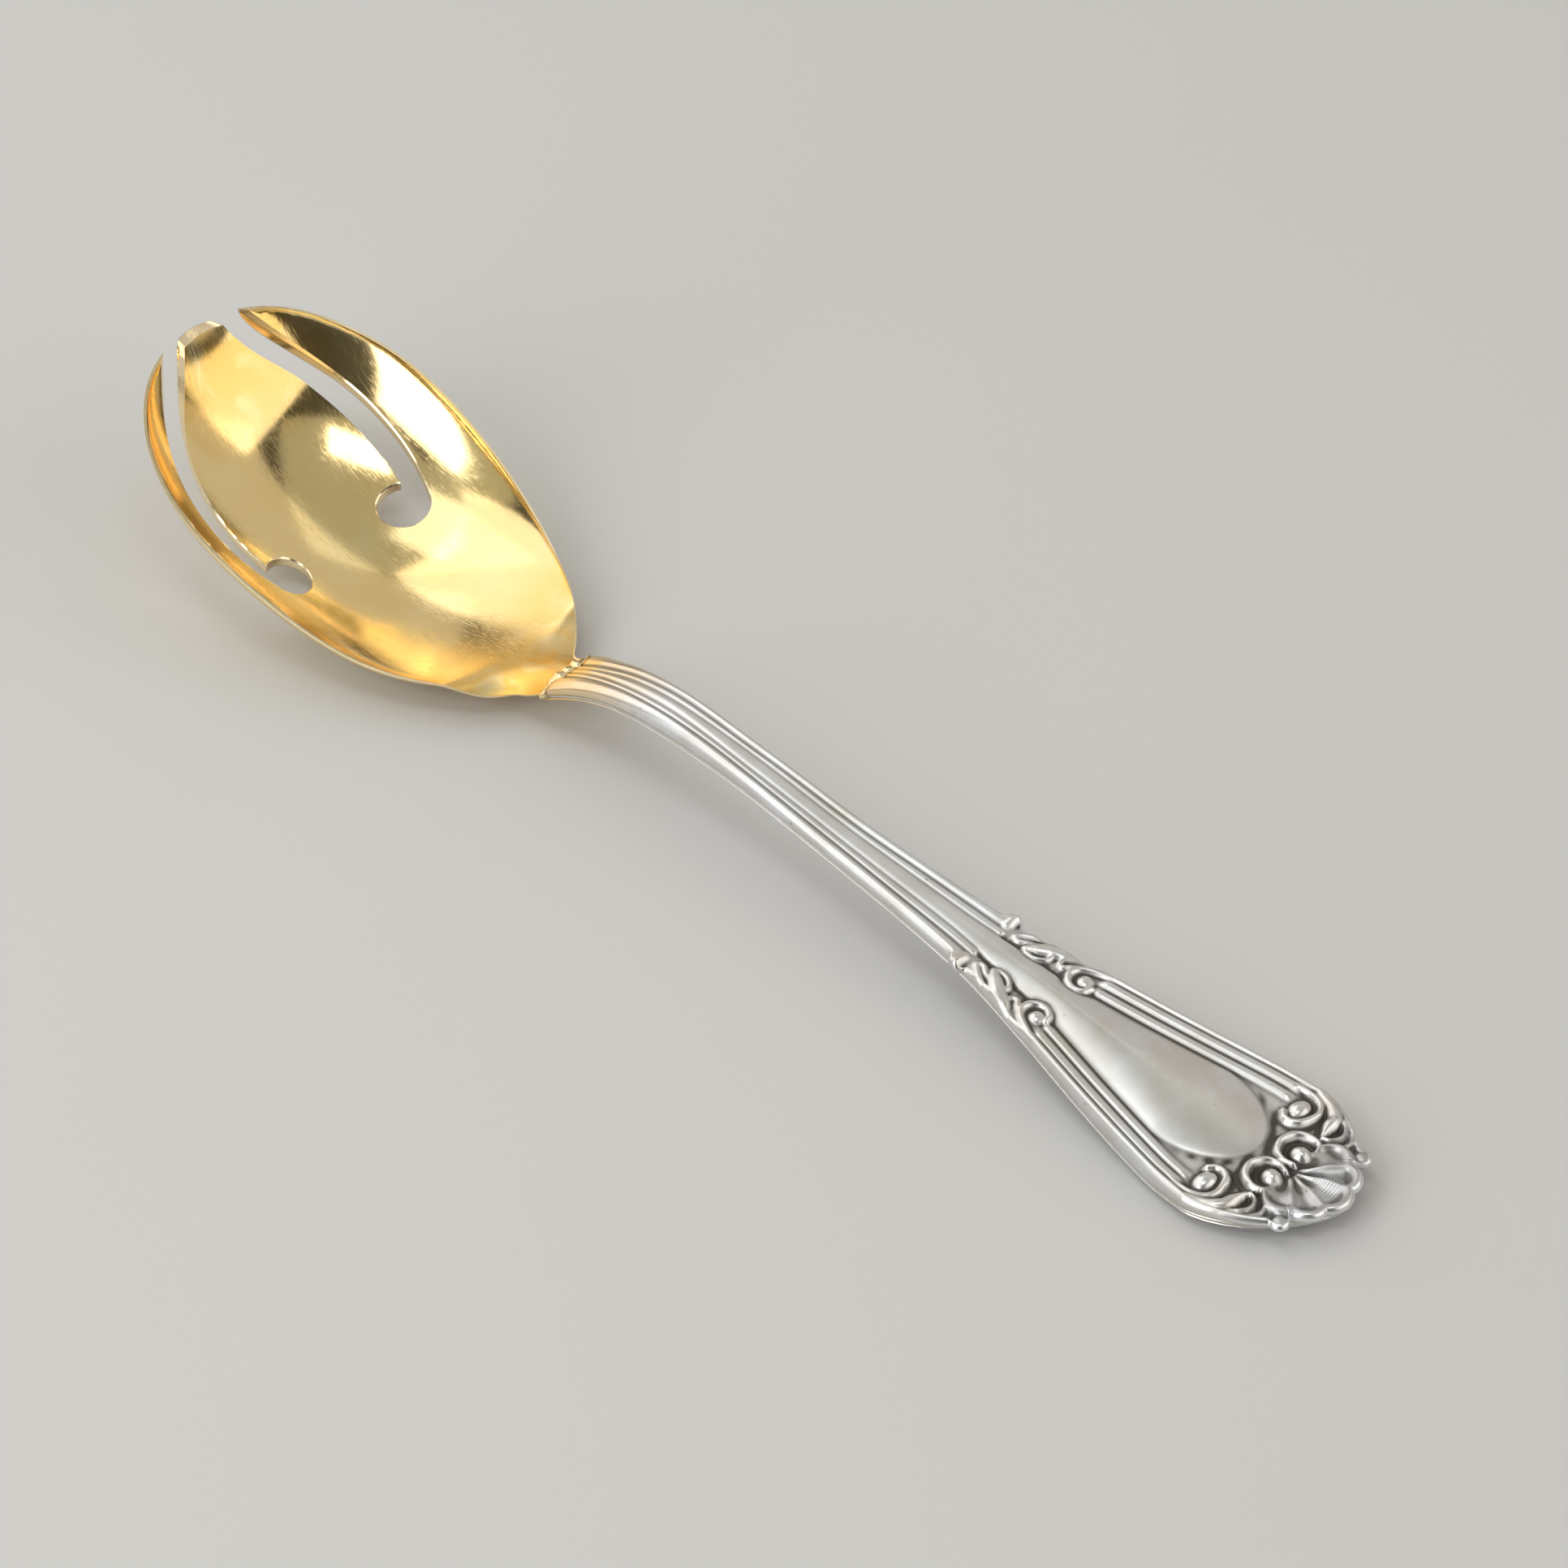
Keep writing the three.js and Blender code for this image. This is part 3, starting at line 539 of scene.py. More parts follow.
def seam_line(x):
    return back_line(x) + np.minimum(1.5, (face_line(x) - back_line(x)) / 2)


def handle_half(x):
    return np.where(x < TAIL, plan_line(x), TAIL_HALF * egg((x - TAIL) / TAIL_LENGTH, TAIL_FULLNESS))


def tail_reach(turn):
    """Distance from the middle of the tail's start to its outline."""
    long, wide = np.cos(turn) / TAIL_LENGTH, np.abs(np.sin(turn)) / TAIL_HALF
    return (np.maximum(long, 0) ** TAIL_FULLNESS + wide**TAIL_FULLNESS) ** (-1 / TAIL_FULLNESS)


def undercut(x):
    return 0.5 * ease(x, 49, 65.05)


def tail_net(rows, columns, turns):
    """Faces of a net of rows along the handle that ends in a fan round the tail, and its edge."""
    wide = 2 * columns + 1
    grid = np.arange(rows * wide).reshape(rows, wide)
    fan = np.empty((turns + 1, columns + 1), int)
    fan[:, 0] = grid[-1, columns]
    fan[0] = grid[-1, columns::-1]
    fan[-1] = grid[-1, columns:]
    fan[1:-1, 1:] = rows * wide + np.arange((turns - 1) * columns).reshape(turns - 1, columns)
    faces = quads(grid[:-1, :-1], grid[1:, :-1], grid[1:, 1:], grid[:-1, 1:])
    for m in range(turns):
        faces.append([fan[m, 0], fan[m, 1], fan[m + 1, 1]])
    faces += quads(fan[:-1, 1:-1], fan[:-1, 2:], fan[1:, 2:], fan[1:, 1:-1])
    edge = np.concatenate([grid[:-1, 0], fan[:-1, -1], grid[:0:-1, -1], grid[0, :0:-1]])
    return faces, edge


def edge_shares(places, columns, turns):
    """How far round each point of a net's edge lies: right side, tail, left side, start."""
    side = (np.asarray(places) - places[0]) / (places[-1] - places[0])
    return np.concatenate([
        side[:-1], 1 + np.arange(turns) / turns, 3 - side[:0:-1], 3 + np.arange(2 * columns) / (2 * columns)
    ])


def shell_net(places, columns, turns):
    return (*tail_net(len(places), columns, turns), edge_shares(places, columns, turns))


def tail_turns(count):
    """Directions of the spokes round the tail, without the two that lie straight across."""
    return np.linspace(-QUARTER, QUARTER, count + 1)[1:-1]


def net_points(places, rows, spokes, row_heights, spoke_heights):
    """Points of a net from its distances out and its heights, for the rows and for the spokes."""
    turn = tail_turns(len(spokes) + 1)[:, None]
    row_y = np.hstack([-rows[:, :0:-1], rows])
    row_x = np.repeat(places[:, None], row_y.shape[1], 1)
    row_z = np.hstack([row_heights[:, :0:-1], row_heights])
    along = np.stack([row_x, row_y, row_z], -1).reshape(-1, 3)
    fan = np.stack([TAIL + spokes * np.cos(turn), spokes * np.sin(turn), spoke_heights], -1)
    return np.concatenate([along, fan[:, 1:].reshape(-1, 3)])


def stitch(edge, shares, other, other_shares):
    """Triangles between two edges that run the same way round."""
    faces = []
    i = j = 0
    while i < len(edge) or j < len(other):
        next_share = shares[i + 1] if i + 1 < len(edge) else 4 + (i + 1 > len(edge))
        next_other = other_shares[j + 1] if j + 1 < len(other) else 4 + (j + 1 > len(other))
        here, there = edge[i % len(edge)], other[j % len(other)]
        if next_share <= next_other:
            i += 1
            faces.append([here, there, edge[i % len(edge)]])
        else:
            j += 1
            faces.append([here, there, other[j % len(other)]])
    return faces


def two_skins(outer, outer_net, inner, inner_net, face_up):
    """One closed shell from an outside and an inside skin and the strip between their edges."""
    faces, edge, shares = outer_net
    inside, inner_edge, inner_shares = inner_net
    count = len(outer)
    faces = faces + [[i + count for i in face[::-1]] for face in inside]
    faces = faces + stitch(edge, shares, inner_edge + count, inner_shares)
    if not face_up:
        faces = [face[::-1] for face in faces]
    return np.concatenate([outer, inner]), [tuple(int(i) for i in face) for face in faces]


def seam_half(x):
    half = handle_half(x)
    return half - np.minimum(undercut(x), half / 4)


def seam_reach(turn):
    return tail_reach(turn) - 0.5 - 0.8 * (1 - ease(np.abs(turn), np.radians(26), np.radians(38)))


def back_height(x, y, inset):
    """Height of the back half's outside, or of its inside, which is inset and leaves the tail thicker."""
    wide = np.maximum(seam_half(x) - inset, 0.05)
    top = seam_line(x) - SEAM_ROOM
    lift = inset * blend(1, 3, ease(x, 105, 109))
    low = np.minimum(back_line(x) + lift, top)
    return np.maximum(blend(top, low, egg(y / wide, 2.4)), 0)


def back_skin(places, columns, turns, inset):
    across = np.sin(np.linspace(0, QUARTER, columns + 1))
    turn = tail_turns(turns)[:, None]
    rows = (seam_half(places) - inset)[:, None] * across
    spokes = (seam_reach(turn) - inset) * across
    row_heights = back_height(places[:, None], rows, inset)
    spoke_heights = back_height(TAIL + spokes * np.cos(turn), spokes * np.sin(turn), inset)
    return net_points(places, rows, spokes, row_heights, spoke_heights)


back_places = np.concatenate([np.arange(SHELL_START, 94, 1.2), np.linspace(94.4, TAIL, 8)])
hollow_places = np.concatenate([np.arange(SHELL_START, 98, 4.4), [TAIL]])
outside = back_places, BACK_COLUMNS, BACK_TURNS
inside = hollow_places, HOLLOW_COLUMNS, HOLLOW_TURNS
back_points, back_faces = two_skins(
    back_skin(*outside, 0), shell_net(*outside), back_skin(*inside, WALL), shell_net(*inside), False)
handle_back = make_piece("handle_back", back_points, back_faces)
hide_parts("handle_back_shell")

DULL_SILVER = 0.71, 0.685, 0.65
BRIGHT_SILVER = 0.86, 0.88, 0.93
GILT_WASH = 0.9, 0.63, 0.25
TARNISH_AND_SHADE = 0.07, 0.063, 0.052
PIT = 0.2, 0.17, 0.14
silver, nodes, shader, place = new_finish("silver")
# The recess attribute darkens the struck face: tarnish in its hollows, and painted shade there and round the
# shell's hub.
tarnish_and_shade = add_node(nodes, "Attribute", attribute_name="recess").outputs["Fac"]
haze = add_noise(nodes, place, 75, 5, Roughness=0.65)
bright = add_ramp(nodes, haze, DULL_SILVER, BRIGHT_SILVER, 0.35, 0.7)
along_x = add_node(nodes, "SeparateXYZ", {"Vector": place}).outputs["X"]
from_neck = add_range(nodes, along_x, -0.0335, -0.016, 1, 0)
patchy = add_noise(nodes, place, 260, 3)
wash = add_math(nodes, "MULTIPLY", from_neck, add_range(nodes, patchy, 0.3, 0.6, 0.55, 1))
washed = add_coat(nodes, wash, bright, GILT_WASH)
cuts = add_node(nodes, "TexWave", {"Vector": place, "Scale": 700, "Distortion": 1.5, "Detail": 1})
lobe = add_range(nodes, add_distance(nodes, place, (0.1128, 0, 0.0042)), 0.0016, 0.0026, 1, 0)
hatch = add_math(nodes, "MULTIPLY", cuts.outputs["Fac"], lobe)
darkening = add_node(nodes, "Math", {0: hatch, 1: -0.35, 2: tarnish_and_shade}, operation="MULTIPLY_ADD", use_clamp=True)
# Tarnish and painted shade darken the silver towards near black.
tarnished_and_shaded = add_coat(nodes, darkening.outputs["Value"], washed, TARNISH_AND_SHADE)
specks = add_node(nodes, "TexVoronoi", {"Vector": place, "Scale": 420})
pits = add_range(nodes, specks.outputs["Distance"], 0.05, 0.13, 1, 0)
pitted = add_math(nodes, "MULTIPLY", pits, add_range(nodes, patchy, 0.52, 0.62, 0, 0.6))
feed(shader, "Base Color", add_coat(nodes, pitted, tarnished_and_shaded, PIT))
feed(shader, "Roughness", add_range(nodes, tarnish_and_shade, 0, 1, 0.32, 0.6))
cut = add_node(nodes, "Bump", {"Height": hatch, "Strength": 0.5, "Distance": 0.0001})
feed(shader, "Normal", cut.outputs["Normal"])
handle_back.data.materials.append(silver)

# Front half of the handle. It is struck in a die from silver sheet: reeds beside a smooth panel,
# caps and leaves where the stem widens, scrolls at both ends of the reeds and a shell at the tail.
PANEL_WIDTH = np.array([
    [-36, 0.5], [-28, 0.6], [-24, 0.85], [-10, 0.95], [3, 1.2], [16, 1.2], [29, 1.4], [43.6, 1.71],
    [48.7, 2.08], [53, 2.5], [58, 2.95], [62, 3.3], [66, 4.2], [70, 5], [78, 6.57], [88, 8.45],
])
PANEL_CROWN = np.array([[-36, 0.45], [46, 0.45], [58, 0.75], [70, 1.1], [78, 1.2], [88, 1.15]])
PANEL_EDGE = np.array([[-36, 0.1], [46, 0.1], [58, -0.1], [66, -0.3], [88, -0.3]])
OUTER_GROOVE = np.array([
    [-36, 1.75], [-30, 1.85], [-16, 2.15], [-3, 2], [8.6, 2.26], [23, 2.47], [34, 2.97], [49, 3.5],
])
CREST_IN = np.array([[-36, 2.6], [-26, 1.6], [-8, 1], [8, 0.85], [34, 1.05],
                     [46, 1.1], [48, 0.75], [50, 0.6], [51.5, 0.8], [66, 0.75]])
RIM_CREST = 0.75
RIM_GROOVE = 1.2
REED_GROOVE = 3.05
REED_END = 4.88
REED_RISE = 0.3
ROLL_RISE = 0.55
RIM_RISE = 0.65
FLARE_RISE = 0.5
GROUND_DEPTH = 0.5
GUTTER_DEPTH = 0.3
SHELL_RISE = 1.1
LIP_ROUND = 0.7
LIP_DROP = 1.2
PANEL_END = 88
PANEL_ROUND = 12.6
CAP_X = 49
CAP_PROUD = 1.05
CAP_LONG = 1.3
HUB = 106.7
PEARL_X = 112.4
PEARL_Y = 8.6
PEARL_RADIUS = 1.45
LOBE_EDGES = np.radians([-16.5, 16.5, 46, 88])
SHELL_REACH = np.array([[0, 10.7], [16.5, 10.5], [30, 10.3], [46, 9.8], [62, 9.3], [74, 8.6], [88, 6.8]])
panel_half = curve_through(*PANEL_WIDTH.T)
panel_crown = curve_through(*PANEL_CROWN.T)
panel_edge = curve_through(*PANEL_EDGE.T)
outer_groove = curve_through(*OUTER_GROOVE.T)
crest_in = curve_through(*CREST_IN.T)
shell_reach = curve_through(np.radians(SHELL_REACH[:, 0]), SHELL_REACH[:, 1])


def lobe_share(turn):
    """How far across its lobe of the shell a direction from the hub lies, 0 and 1 on the ridges."""
    turn = np.clip(np.abs(turn), 0, LOBE_EDGES[-1] - 1e-6)
    i = np.searchsorted(LOBE_EDGES, turn, side="right") - 1
    return (turn - LOBE_EDGES[i]) / (LOBE_EDGES[i + 1] - LOBE_EDGES[i])


def scallop(turn):
    """Distance from the hub to the scalloped edge of the shell."""
    notch = 1 - np.sin(np.pi * lobe_share(turn)) ** 0.5
    return shell_reach(np.clip(np.abs(turn), 0, LOBE_EDGES[-1])) * (1 - 0.1 * notch)


def front_reach(turn):
    """The tail's outline with the scallops of the shell."""
    reach = tail_reach(turn)
    seen = np.arctan2(reach * np.abs(np.sin(turn)), TAIL + reach * np.cos(turn) - HUB)
    far = np.hypot(reach * np.sin(turn), TAIL + reach * np.cos(turn) - HUB)
    fluted = 1 - ease(seen, np.radians(46), np.radians(53))
    reach = reach - np.maximum(far - scallop(seen), 0) * fluted
    aside = np.abs(turn) - np.arctan2(PEARL_Y, PEARL_X - TAIL)
    middle = np.hypot(PEARL_Y, PEARL_X - TAIL)
    bulge = middle * np.cos(aside) + np.sqrt(np.maximum(PEARL_RADIUS**2 - (middle * np.sin(aside)) ** 2, 0))
    return np.where(np.abs(middle * np.sin(aside)) < PEARL_RADIUS, np.maximum(reach, bulge), reach)


def struck_half(x):
    """Half the width of the struck half, with the caps that stand out of its sides."""
    cap = CAP_PROUD * np.exp(-(((x - CAP_X) / CAP_LONG) ** 6))
    return handle_half(x) + cap


def edge_distance(x, out):
    """Distance in from the outline."""
    turn = np.arctan2(out, np.maximum(x - TAIL, 1e-9))
    return np.where(x < TAIL, handle_half(x) - out, front_reach(turn) - np.hypot(x - TAIL, out))


def bump(s):
    """A rounded ridge from 0 up to 1 and down again."""
    return np.maximum(1 - (2 * np.clip(s, 0, 1) - 1) ** 2, 0) ** 0.8


STROKES = []
KNOBS = []


def stroke(points, width, top, foot=-0.6):
    """A raised line on both sides of the struck face; width and top may change along it."""
    points = np.array(points, float)
    run = np.concatenate([[0], np.cumsum(np.hypot(*np.diff(points, axis=0).T))])
    fine = np.linspace(0, run[-1], max(2, int(run[-1] / 0.35)))
    path = np.stack([curve_through(run, points[:, 0])(fine), curve_through(run, points[:, 1])(fine)], -1)
    shares = fine / run[-1]
    widths = np.interp(shares, np.linspace(0, 1, np.size(width)), np.atleast_1d(width))
    tops = np.interp(shares, np.linspace(0, 1, np.size(top)), np.atleast_1d(top))
    STROKES.append((path, widths, tops, foot))


def knob(x, out, radius, top, foot=-0.6, long=1, turn=0):
    """A raised knob on both sides of the struck face, drawn out by long in the direction of turn."""
    KNOBS.append((x, out, radius, top, foot, long, turn))


def add_strokes(z, x, out, face):
    far_below = -9.0
    for path, widths, tops, foot in STROKES:
        margin = widths.max()
        near = (x > path[:, 0].min() - margin) & (x < path[:, 0].max() + margin)
        near &= (out > path[:, 1].min() - margin) & (out < path[:, 1].max() + margin)
        spots = np.nonzero(near)
        best = np.full(len(spots[0]), far_below)
        at_x, at_out = x[spots], out[spots]
        for k in range(len(path) - 1):
            step = path[k + 1] - path[k]
            from_x, from_out = at_x - path[k, 0], at_out - path[k, 1]
            share = np.clip((from_x * step[0] + from_out * step[1]) / (step @ step), 0, 1)
            away = np.hypot(from_x - share * step[0], from_out - share * step[1])
            wide, top = blend(widths[k], widths[k + 1], share), blend(tops[k], tops[k + 1], share)
            rise = foot + (top - foot) * np.maximum(1 - (away / wide) ** 2, 0) ** 0.7
            best = np.maximum(best, np.where(away < wide, rise, far_below))
        z[spots] = np.maximum(z[spots], face[spots] + best)
    return z


def add_knobs(z, x, out, face):
    for knob_x, knob_out, radius, top, foot, long, turn in KNOBS:
        from_x, from_out = x - knob_x, out - knob_out
        along = from_x * np.cos(turn) + from_out * np.sin(turn)
        across = from_out * np.cos(turn) - from_x * np.sin(turn)
        away = np.hypot(along / (radius * long), across / radius)
        rise = foot + (top - foot) * np.maximum(1 - away * away, 0) ** 0.6
        z = np.where(away < 1, np.maximum(z, face + rise), z)
    return z


def panel_height(x, out, face, flat):
    """The smooth panel, with a ridge where the stem widens and a rounded end."""
    before_end, past_end = np.minimum(x, PANEL_END), np.maximum((x - PANEL_END) / PANEL_ROUND, 0)
    base = panel_edge(before_end)
    crown = panel_crown(before_end) - base
    fade = np.maximum(1 - past_end**2, 0) ** 0.75
    ridged = ease(x, 46, 58) * (1 - ease(x, 72, 92))
    dome = np.maximum(1 - np.clip(out / flat, 0, 1) ** blend(2, 1.5, ridged), 0) ** blend(0.78, 1, ridged)
    return face + base + crown * fade * dome


def stem_height(x, out, face, flat):
    """The slim stem beside the panel: a fine reed and the rounded edge."""
    groove = outer_groove(x)
    reed = face + 0.05 + REED_RISE * bump((out - flat) / np.maximum(groove - flat, 0.1))
    crest = np.maximum(handle_half(x) - crest_in(x) - groove, 0.1)
    roll = face + ROLL_RISE * np.sin(QUARTER * np.clip((out - groove) / crest, 0, 1)) ** 0.8
    return np.where(out < groove, reed, roll)


def ground_height(x, out, face, flat):
    """The sunk ground under the leaves and the upper scroll."""
    share = np.clip((out - flat) / np.maximum(handle_half(x) - flat, 0.1), 0.02, 0.93)
    return face - GROUND_DEPTH + GROUND_DEPTH * np.sin(np.pi * share) ** 0.7


def flare_height(x, out, face):
    """The flared end beside the panel: the rim and two broad reeds, which stop at the lower scroll."""
    edge = edge_distance(x, out)
    fall = (np.maximum(edge, RIM_CREST) - RIM_CREST) / (RIM_GROOVE - RIM_CREST)
    rim = face + 0.05 + RIM_RISE * np.sqrt(np.maximum(1 - fall**2, 0))
    past_rim, past_reed = edge - RIM_GROOVE, edge - REED_GROOVE
    outer = face + 0.1 - 0.15 * past_rim + FLARE_RISE * bump(past_rim / (REED_GROOVE - RIM_GROOVE))
    inner = face - 0.2 - 0.05 * past_reed + FLARE_RISE * bump(past_reed / (REED_END - REED_GROOVE))
    end = ease(x, 96.5, 98.5)
    low = face - GUTTER_DEPTH
    outer, inner = blend(outer, low, end), blend(inner, low, end)
    reeds = np.where(edge < REED_GROOVE, outer, np.where(edge < REED_END, inner, low))
    return np.where(edge < RIM_GROOVE, rim, reeds)


def add_shell(z, x, out, face):
    """The shell at the tail: hollow flutes between ridges, and a lip with a rounded edge."""
    turn, far = np.arctan2(out, x - HUB), np.hypot(x - HUB, out)
    reach = scallop(turn)
    across = np.sin(np.pi * lobe_share(turn))
    lip = ease(far, reach - 2.1, reach - 1)
    ridge = 0.05 + SHELL_RISE * ease(far, 0.8, 6)
    flute = (0.25 + 0.6 * ease(far, 1.2, 4)) * across**0.8
    past_lip = np.maximum(far - reach + LIP_ROUND, 0) / LIP_ROUND
    drop = LIP_DROP * (1 - np.sqrt(np.maximum(1 - past_lip**2, 0)))
    shell = face + ridge + 0.2 * lip * across - flute * (1 - lip) - drop
    inside = (x > HUB - 2) & (turn < LOBE_EDGES[-1]) & (far < reach) & (far > 0.9)
    return np.where(inside, np.maximum(shell, z), z)


def relief(x, y):
    """Height of the struck face."""
    out = np.abs(y)
    face = face_line(x)
    past_end = np.maximum((x - PANEL_END) / PANEL_ROUND, 0)
    flat = panel_half(np.minimum(x, PANEL_END)) * np.sqrt(np.maximum(1 - past_end**2, 1e-6))
    past_cap, past_scroll = ease(x, 49.3, 50.3), ease(x, 64.6, 66.4)
    flared = blend(ground_height(x, out, face, flat), flare_height(x, out, face), past_scroll)
    side = blend(stem_height(x, out, face, flat), flared, past_cap)
    z = np.where(out < flat, panel_height(x, out, face, flat), side)
    for add_ornament in (add_shell, add_strokes, add_knobs):
        z = add_ornament(z, x, out, face)
    return z


# Cap, two leaves, two small curls and the upper scroll with its knob
stroke([(49, 4.3), (49, 5.2), (49, 6.8)], 1.25, (0.55, 0.8, 0.75), -1)
stroke([(58, 7.3), (55, 6.5), (52.8, 5.5), (51.6, 4.6), (51.2, 3.9), (51.9, 3.5), (53.3, 4.4), (55.4, 5.8)],
       (0.7, 0.75, 0.6, 0.55, 0.5), (0, 0.3, 0.35, 0.3, 0.1))
stroke([(53.7, 3.2), (55.2, 4.5), (57, 5.8), (58.8, 6.6), (60, 7.3)], (0.8, 1.5, 1.7, 1.4, 0.8),
       (0.45, 0.75, 0.85, 0.6, 0))
stroke([(54.2, 2.7), (55.8, 2.8), (57.1, 3.7), (57.4, 4.8), (56.6, 5.2)], 0.55, (0.4, 0.5, 0.5, 0.45))
stroke([(58.7, 5.6), (58.9, 4.8), (59.6, 4.6), (60.4, 5.6), (62.1, 6.8), (64.8, 7.8)], 0.6,
       (0.3, 0.45, 0.4, 0.3))
stroke([(69, 9.1), (65.3, 8.1), (62.8, 7.1), (61.4, 6), (61.1, 4.5), (61.9, 3.3), (63.3, 2.85), (64.7, 3.5),
        (65.1, 4.7)], (0.6, 0.7, 0.85, 0.85, 0.7), (0.65, 0.6, 0.65, 0.7, 0.6))
knob(63.7, 5, 1.6, 0.65)
# Lower scroll with its knob, and a leaf and two ribs round the shoulder
stroke([(95, 12.7), (97.6, 13.1), (99.9, 13), (101.6, 12.3), (102.5, 10.8), (102.3, 9), (101.7, 7.6),
        (100.6, 6.9), (99.4, 7), (98.5, 7.9)], (0.7, 0.7, 0.8, 0.9, 0.75), (0.5, 0.55, 0.7, 0.9, 0.75))
knob(99.9, 9.75, 1.7, 0.85, long=1.3, turn=np.radians(95))
stroke([(99.5, 14.1), (103, 13.1), (104.8, 11.6), (105.2, 9.8), (105.7, 8)], (0.7, 1.1, 1.45, 1.45, 0.6),
       (0.6, 0.8, 1.15, 1.25, 0.9))
stroke([(106, 7.5), (107.2, 7.9), (107.9, 9.1), (107.7, 10.4), (106.6, 11.6), (105, 12.6)], 0.55,
       (0.9, 1.1, 1, 0.5))
stroke([(109, 7.8), (109.5, 9), (109.2, 10), (108.2, 11)], 0.55, (0.9, 0.9, 0.8, 0.5))
# Volute above the shell with its knob
stroke([(106.6, 0.85), (105, 0.5), (103.4, 1.1), (102.5, 2.5), (102.4, 3.7), (103.2, 5.4), (104.9, 6.3),
        (106.5, 6.2), (107.3, 5.5)], (0.65, 0.8, 0.95, 0.9, 0.7), (0.9, 1.15, 1.3, 1.25, 1.1))
knob(106, 3.05, 1.65, 1.4, long=1.15, turn=0.1)
# Pearl between the shell and the leaves
knob(PEARL_X, PEARL_Y, PEARL_RADIUS, 1.0, -0.4)


WEAR = 0.24
AROUND = np.arange(8) * QUARTER / 2


def worn(x, y):
    """The struck face after long use and polishing, its edges rubbed soft."""
    height = relief(x, y) / 5
    for turn in AROUND:
        height = height + relief(x + WEAR * np.cos(turn), y + WEAR * np.sin(turn)) / 10
    return height


COLUMNS = 90
TURNS = 260
SIDE_STEPS = np.array([0.12, 0.28, 0.45, 0.62, 0.8, 1, 1.25, 1.6, 2])
front_places = np.concatenate([
    np.linspace(SHELL_START, 46.5, 104), np.linspace(46.66, 67, 120), np.linspace(67.6, 92.8, 42),
    np.linspace(93, TAIL, 36),
])


def face_and_side(place_of, outline, crest, under, bottom):
    """Distances out and heights from the middle of the face over the rim's crest down to the seam."""
    share = np.linspace(0, 1, COLUMNS + 1)
    out = (outline - crest)[:, None] * share
    x, y = place_of(out)
    heights = worn(x, y)
    top = heights[:, -1:]
    drop = np.minimum(1.6 * crest, 0.6 * (top[:, 0] - bottom(outline)))[:, None]
    turn = QUARTER * np.minimum(SIDE_STEPS, 1)
    wall = np.maximum(SIDE_STEPS - 1, 0)
    side = outline[:, None] - crest[:, None] * (1 - np.sin(turn))
    side = blend(side, under[:, None], wall**2)
    low = bottom(outline)[:, None]
    side_heights = blend(top - drop * (1 - np.cos(turn)), low, wall)
    return np.hstack([out, side]), np.hstack([heights, side_heights])


spoke_turn = tail_turns(TURNS)
row_out, row_up = face_and_side(
    lambda out: (np.repeat(front_places[:, None], out.shape[1], 1), out),
    struck_half(front_places), crest_in(front_places), seam_half(front_places),
    lambda out: seam_line(front_places) + SEAM_ROOM)
spoke_out, spoke_up = face_and_side(
    lambda out: (TAIL + out * np.cos(spoke_turn)[:, None], out * np.sin(spoke_turn)[:, None]),
    front_reach(spoke_turn), np.full(TURNS - 1, RIM_CREST), seam_reach(spoke_turn),
    lambda out: seam_line(TAIL + out * np.cos(spoke_turn)) + SEAM_ROOM)
front_outer = net_points(front_places, row_out, spoke_out, row_up, spoke_up)

ceiling_places = np.linspace(SHELL_START, TAIL, 68)
CEILING_TURNS = 32
CEILING_DEPTH = 0.66
ceiling_turn = tail_turns(CEILING_TURNS)
ceiling_share = np.array([0, 0.2, 0.4, 0.6, 0.74, 0.85, 1, 1])
ceiling_rise = np.array([1, 1, 1, 1, 1, 1, 0.8, 0])


def ceiling(x):
    hollow = 1 - ease(x, 107.5, 109)
    low = seam_line(x) + SEAM_ROOM
    return low + (face_line(x) - CEILING_DEPTH - low) * hollow * ceiling_rise


ceiling_rows = (seam_half(ceiling_places) - WALL)[:, None] * ceiling_share
ceiling_spokes = (seam_reach(ceiling_turn) - WALL)[:, None] * ceiling_share
front_inner = net_points(
    ceiling_places, ceiling_rows, ceiling_spokes, ceiling(ceiling_places[:, None]),
    ceiling(TAIL + ceiling_spokes * np.cos(ceiling_turn)[:, None]))
front_columns = COLUMNS + len(SIDE_STEPS)
front_points, front_faces = two_skins(
    front_outer, shell_net(front_places, front_columns, TURNS),
    front_inner, shell_net(ceiling_places, len(ceiling_share) - 1, CEILING_TURNS), True)
handle_front = make_piece("handle_front", front_points, front_faces)
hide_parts("handle_front_shell")


def recess(points):
    """How dark each place of the struck face is painted, from 0 to 1: by how deep it lies below its
    surroundings, for tarnish in the hollows with painted shade there; a blotchy darker ring in the ground
    round the panel's end; painted shade round the shell's hub; and at least some darkening in the flutes.
    """
    x, y, z = points.T
    depth = np.zeros(len(points))
    for radius, weight in ((0.45, 0.55), (0.95, 0.42), (1.9, 0.14)):
        for turn in AROUND:
            around = relief(x + radius * np.cos(turn), y + radius * np.sin(turn))
            depth += weight * (around - z) / 8
    ring = np.hypot((x - PANEL_END) / PANEL_ROUND, y / panel_half(PANEL_END))
    blotches = 0.6 + 0.4 * np.sin(2.1 * x + 1.3 * y)
    ground_ring = np.exp(-(((ring - 1.07) / 0.06) ** 2)) * ease(x, 90, 97) * blotches
    # Painted shade: the shell is darkened round its hub.
    hub_shade = 0.5 * np.exp(-(((x - HUB - 1.5) / 2.4) ** 2) - (y / 2.8) ** 2)
    bearing, far = np.arctan2(np.abs(y), x - HUB), np.hypot(x - HUB, y)
    in_flute = (bearing < LOBE_EDGES[-1]) * ease(far, 2, 4.5) * (1 - ease(far, 11, 12))
    # The flutes of the shell are kept darker: tarnish there, with painted shade.
    return np.clip((depth - 0.01) / 0.2 + ground_ring + hub_shade, 0.38 * in_flute, 0.95 - 0.12 * in_flute)


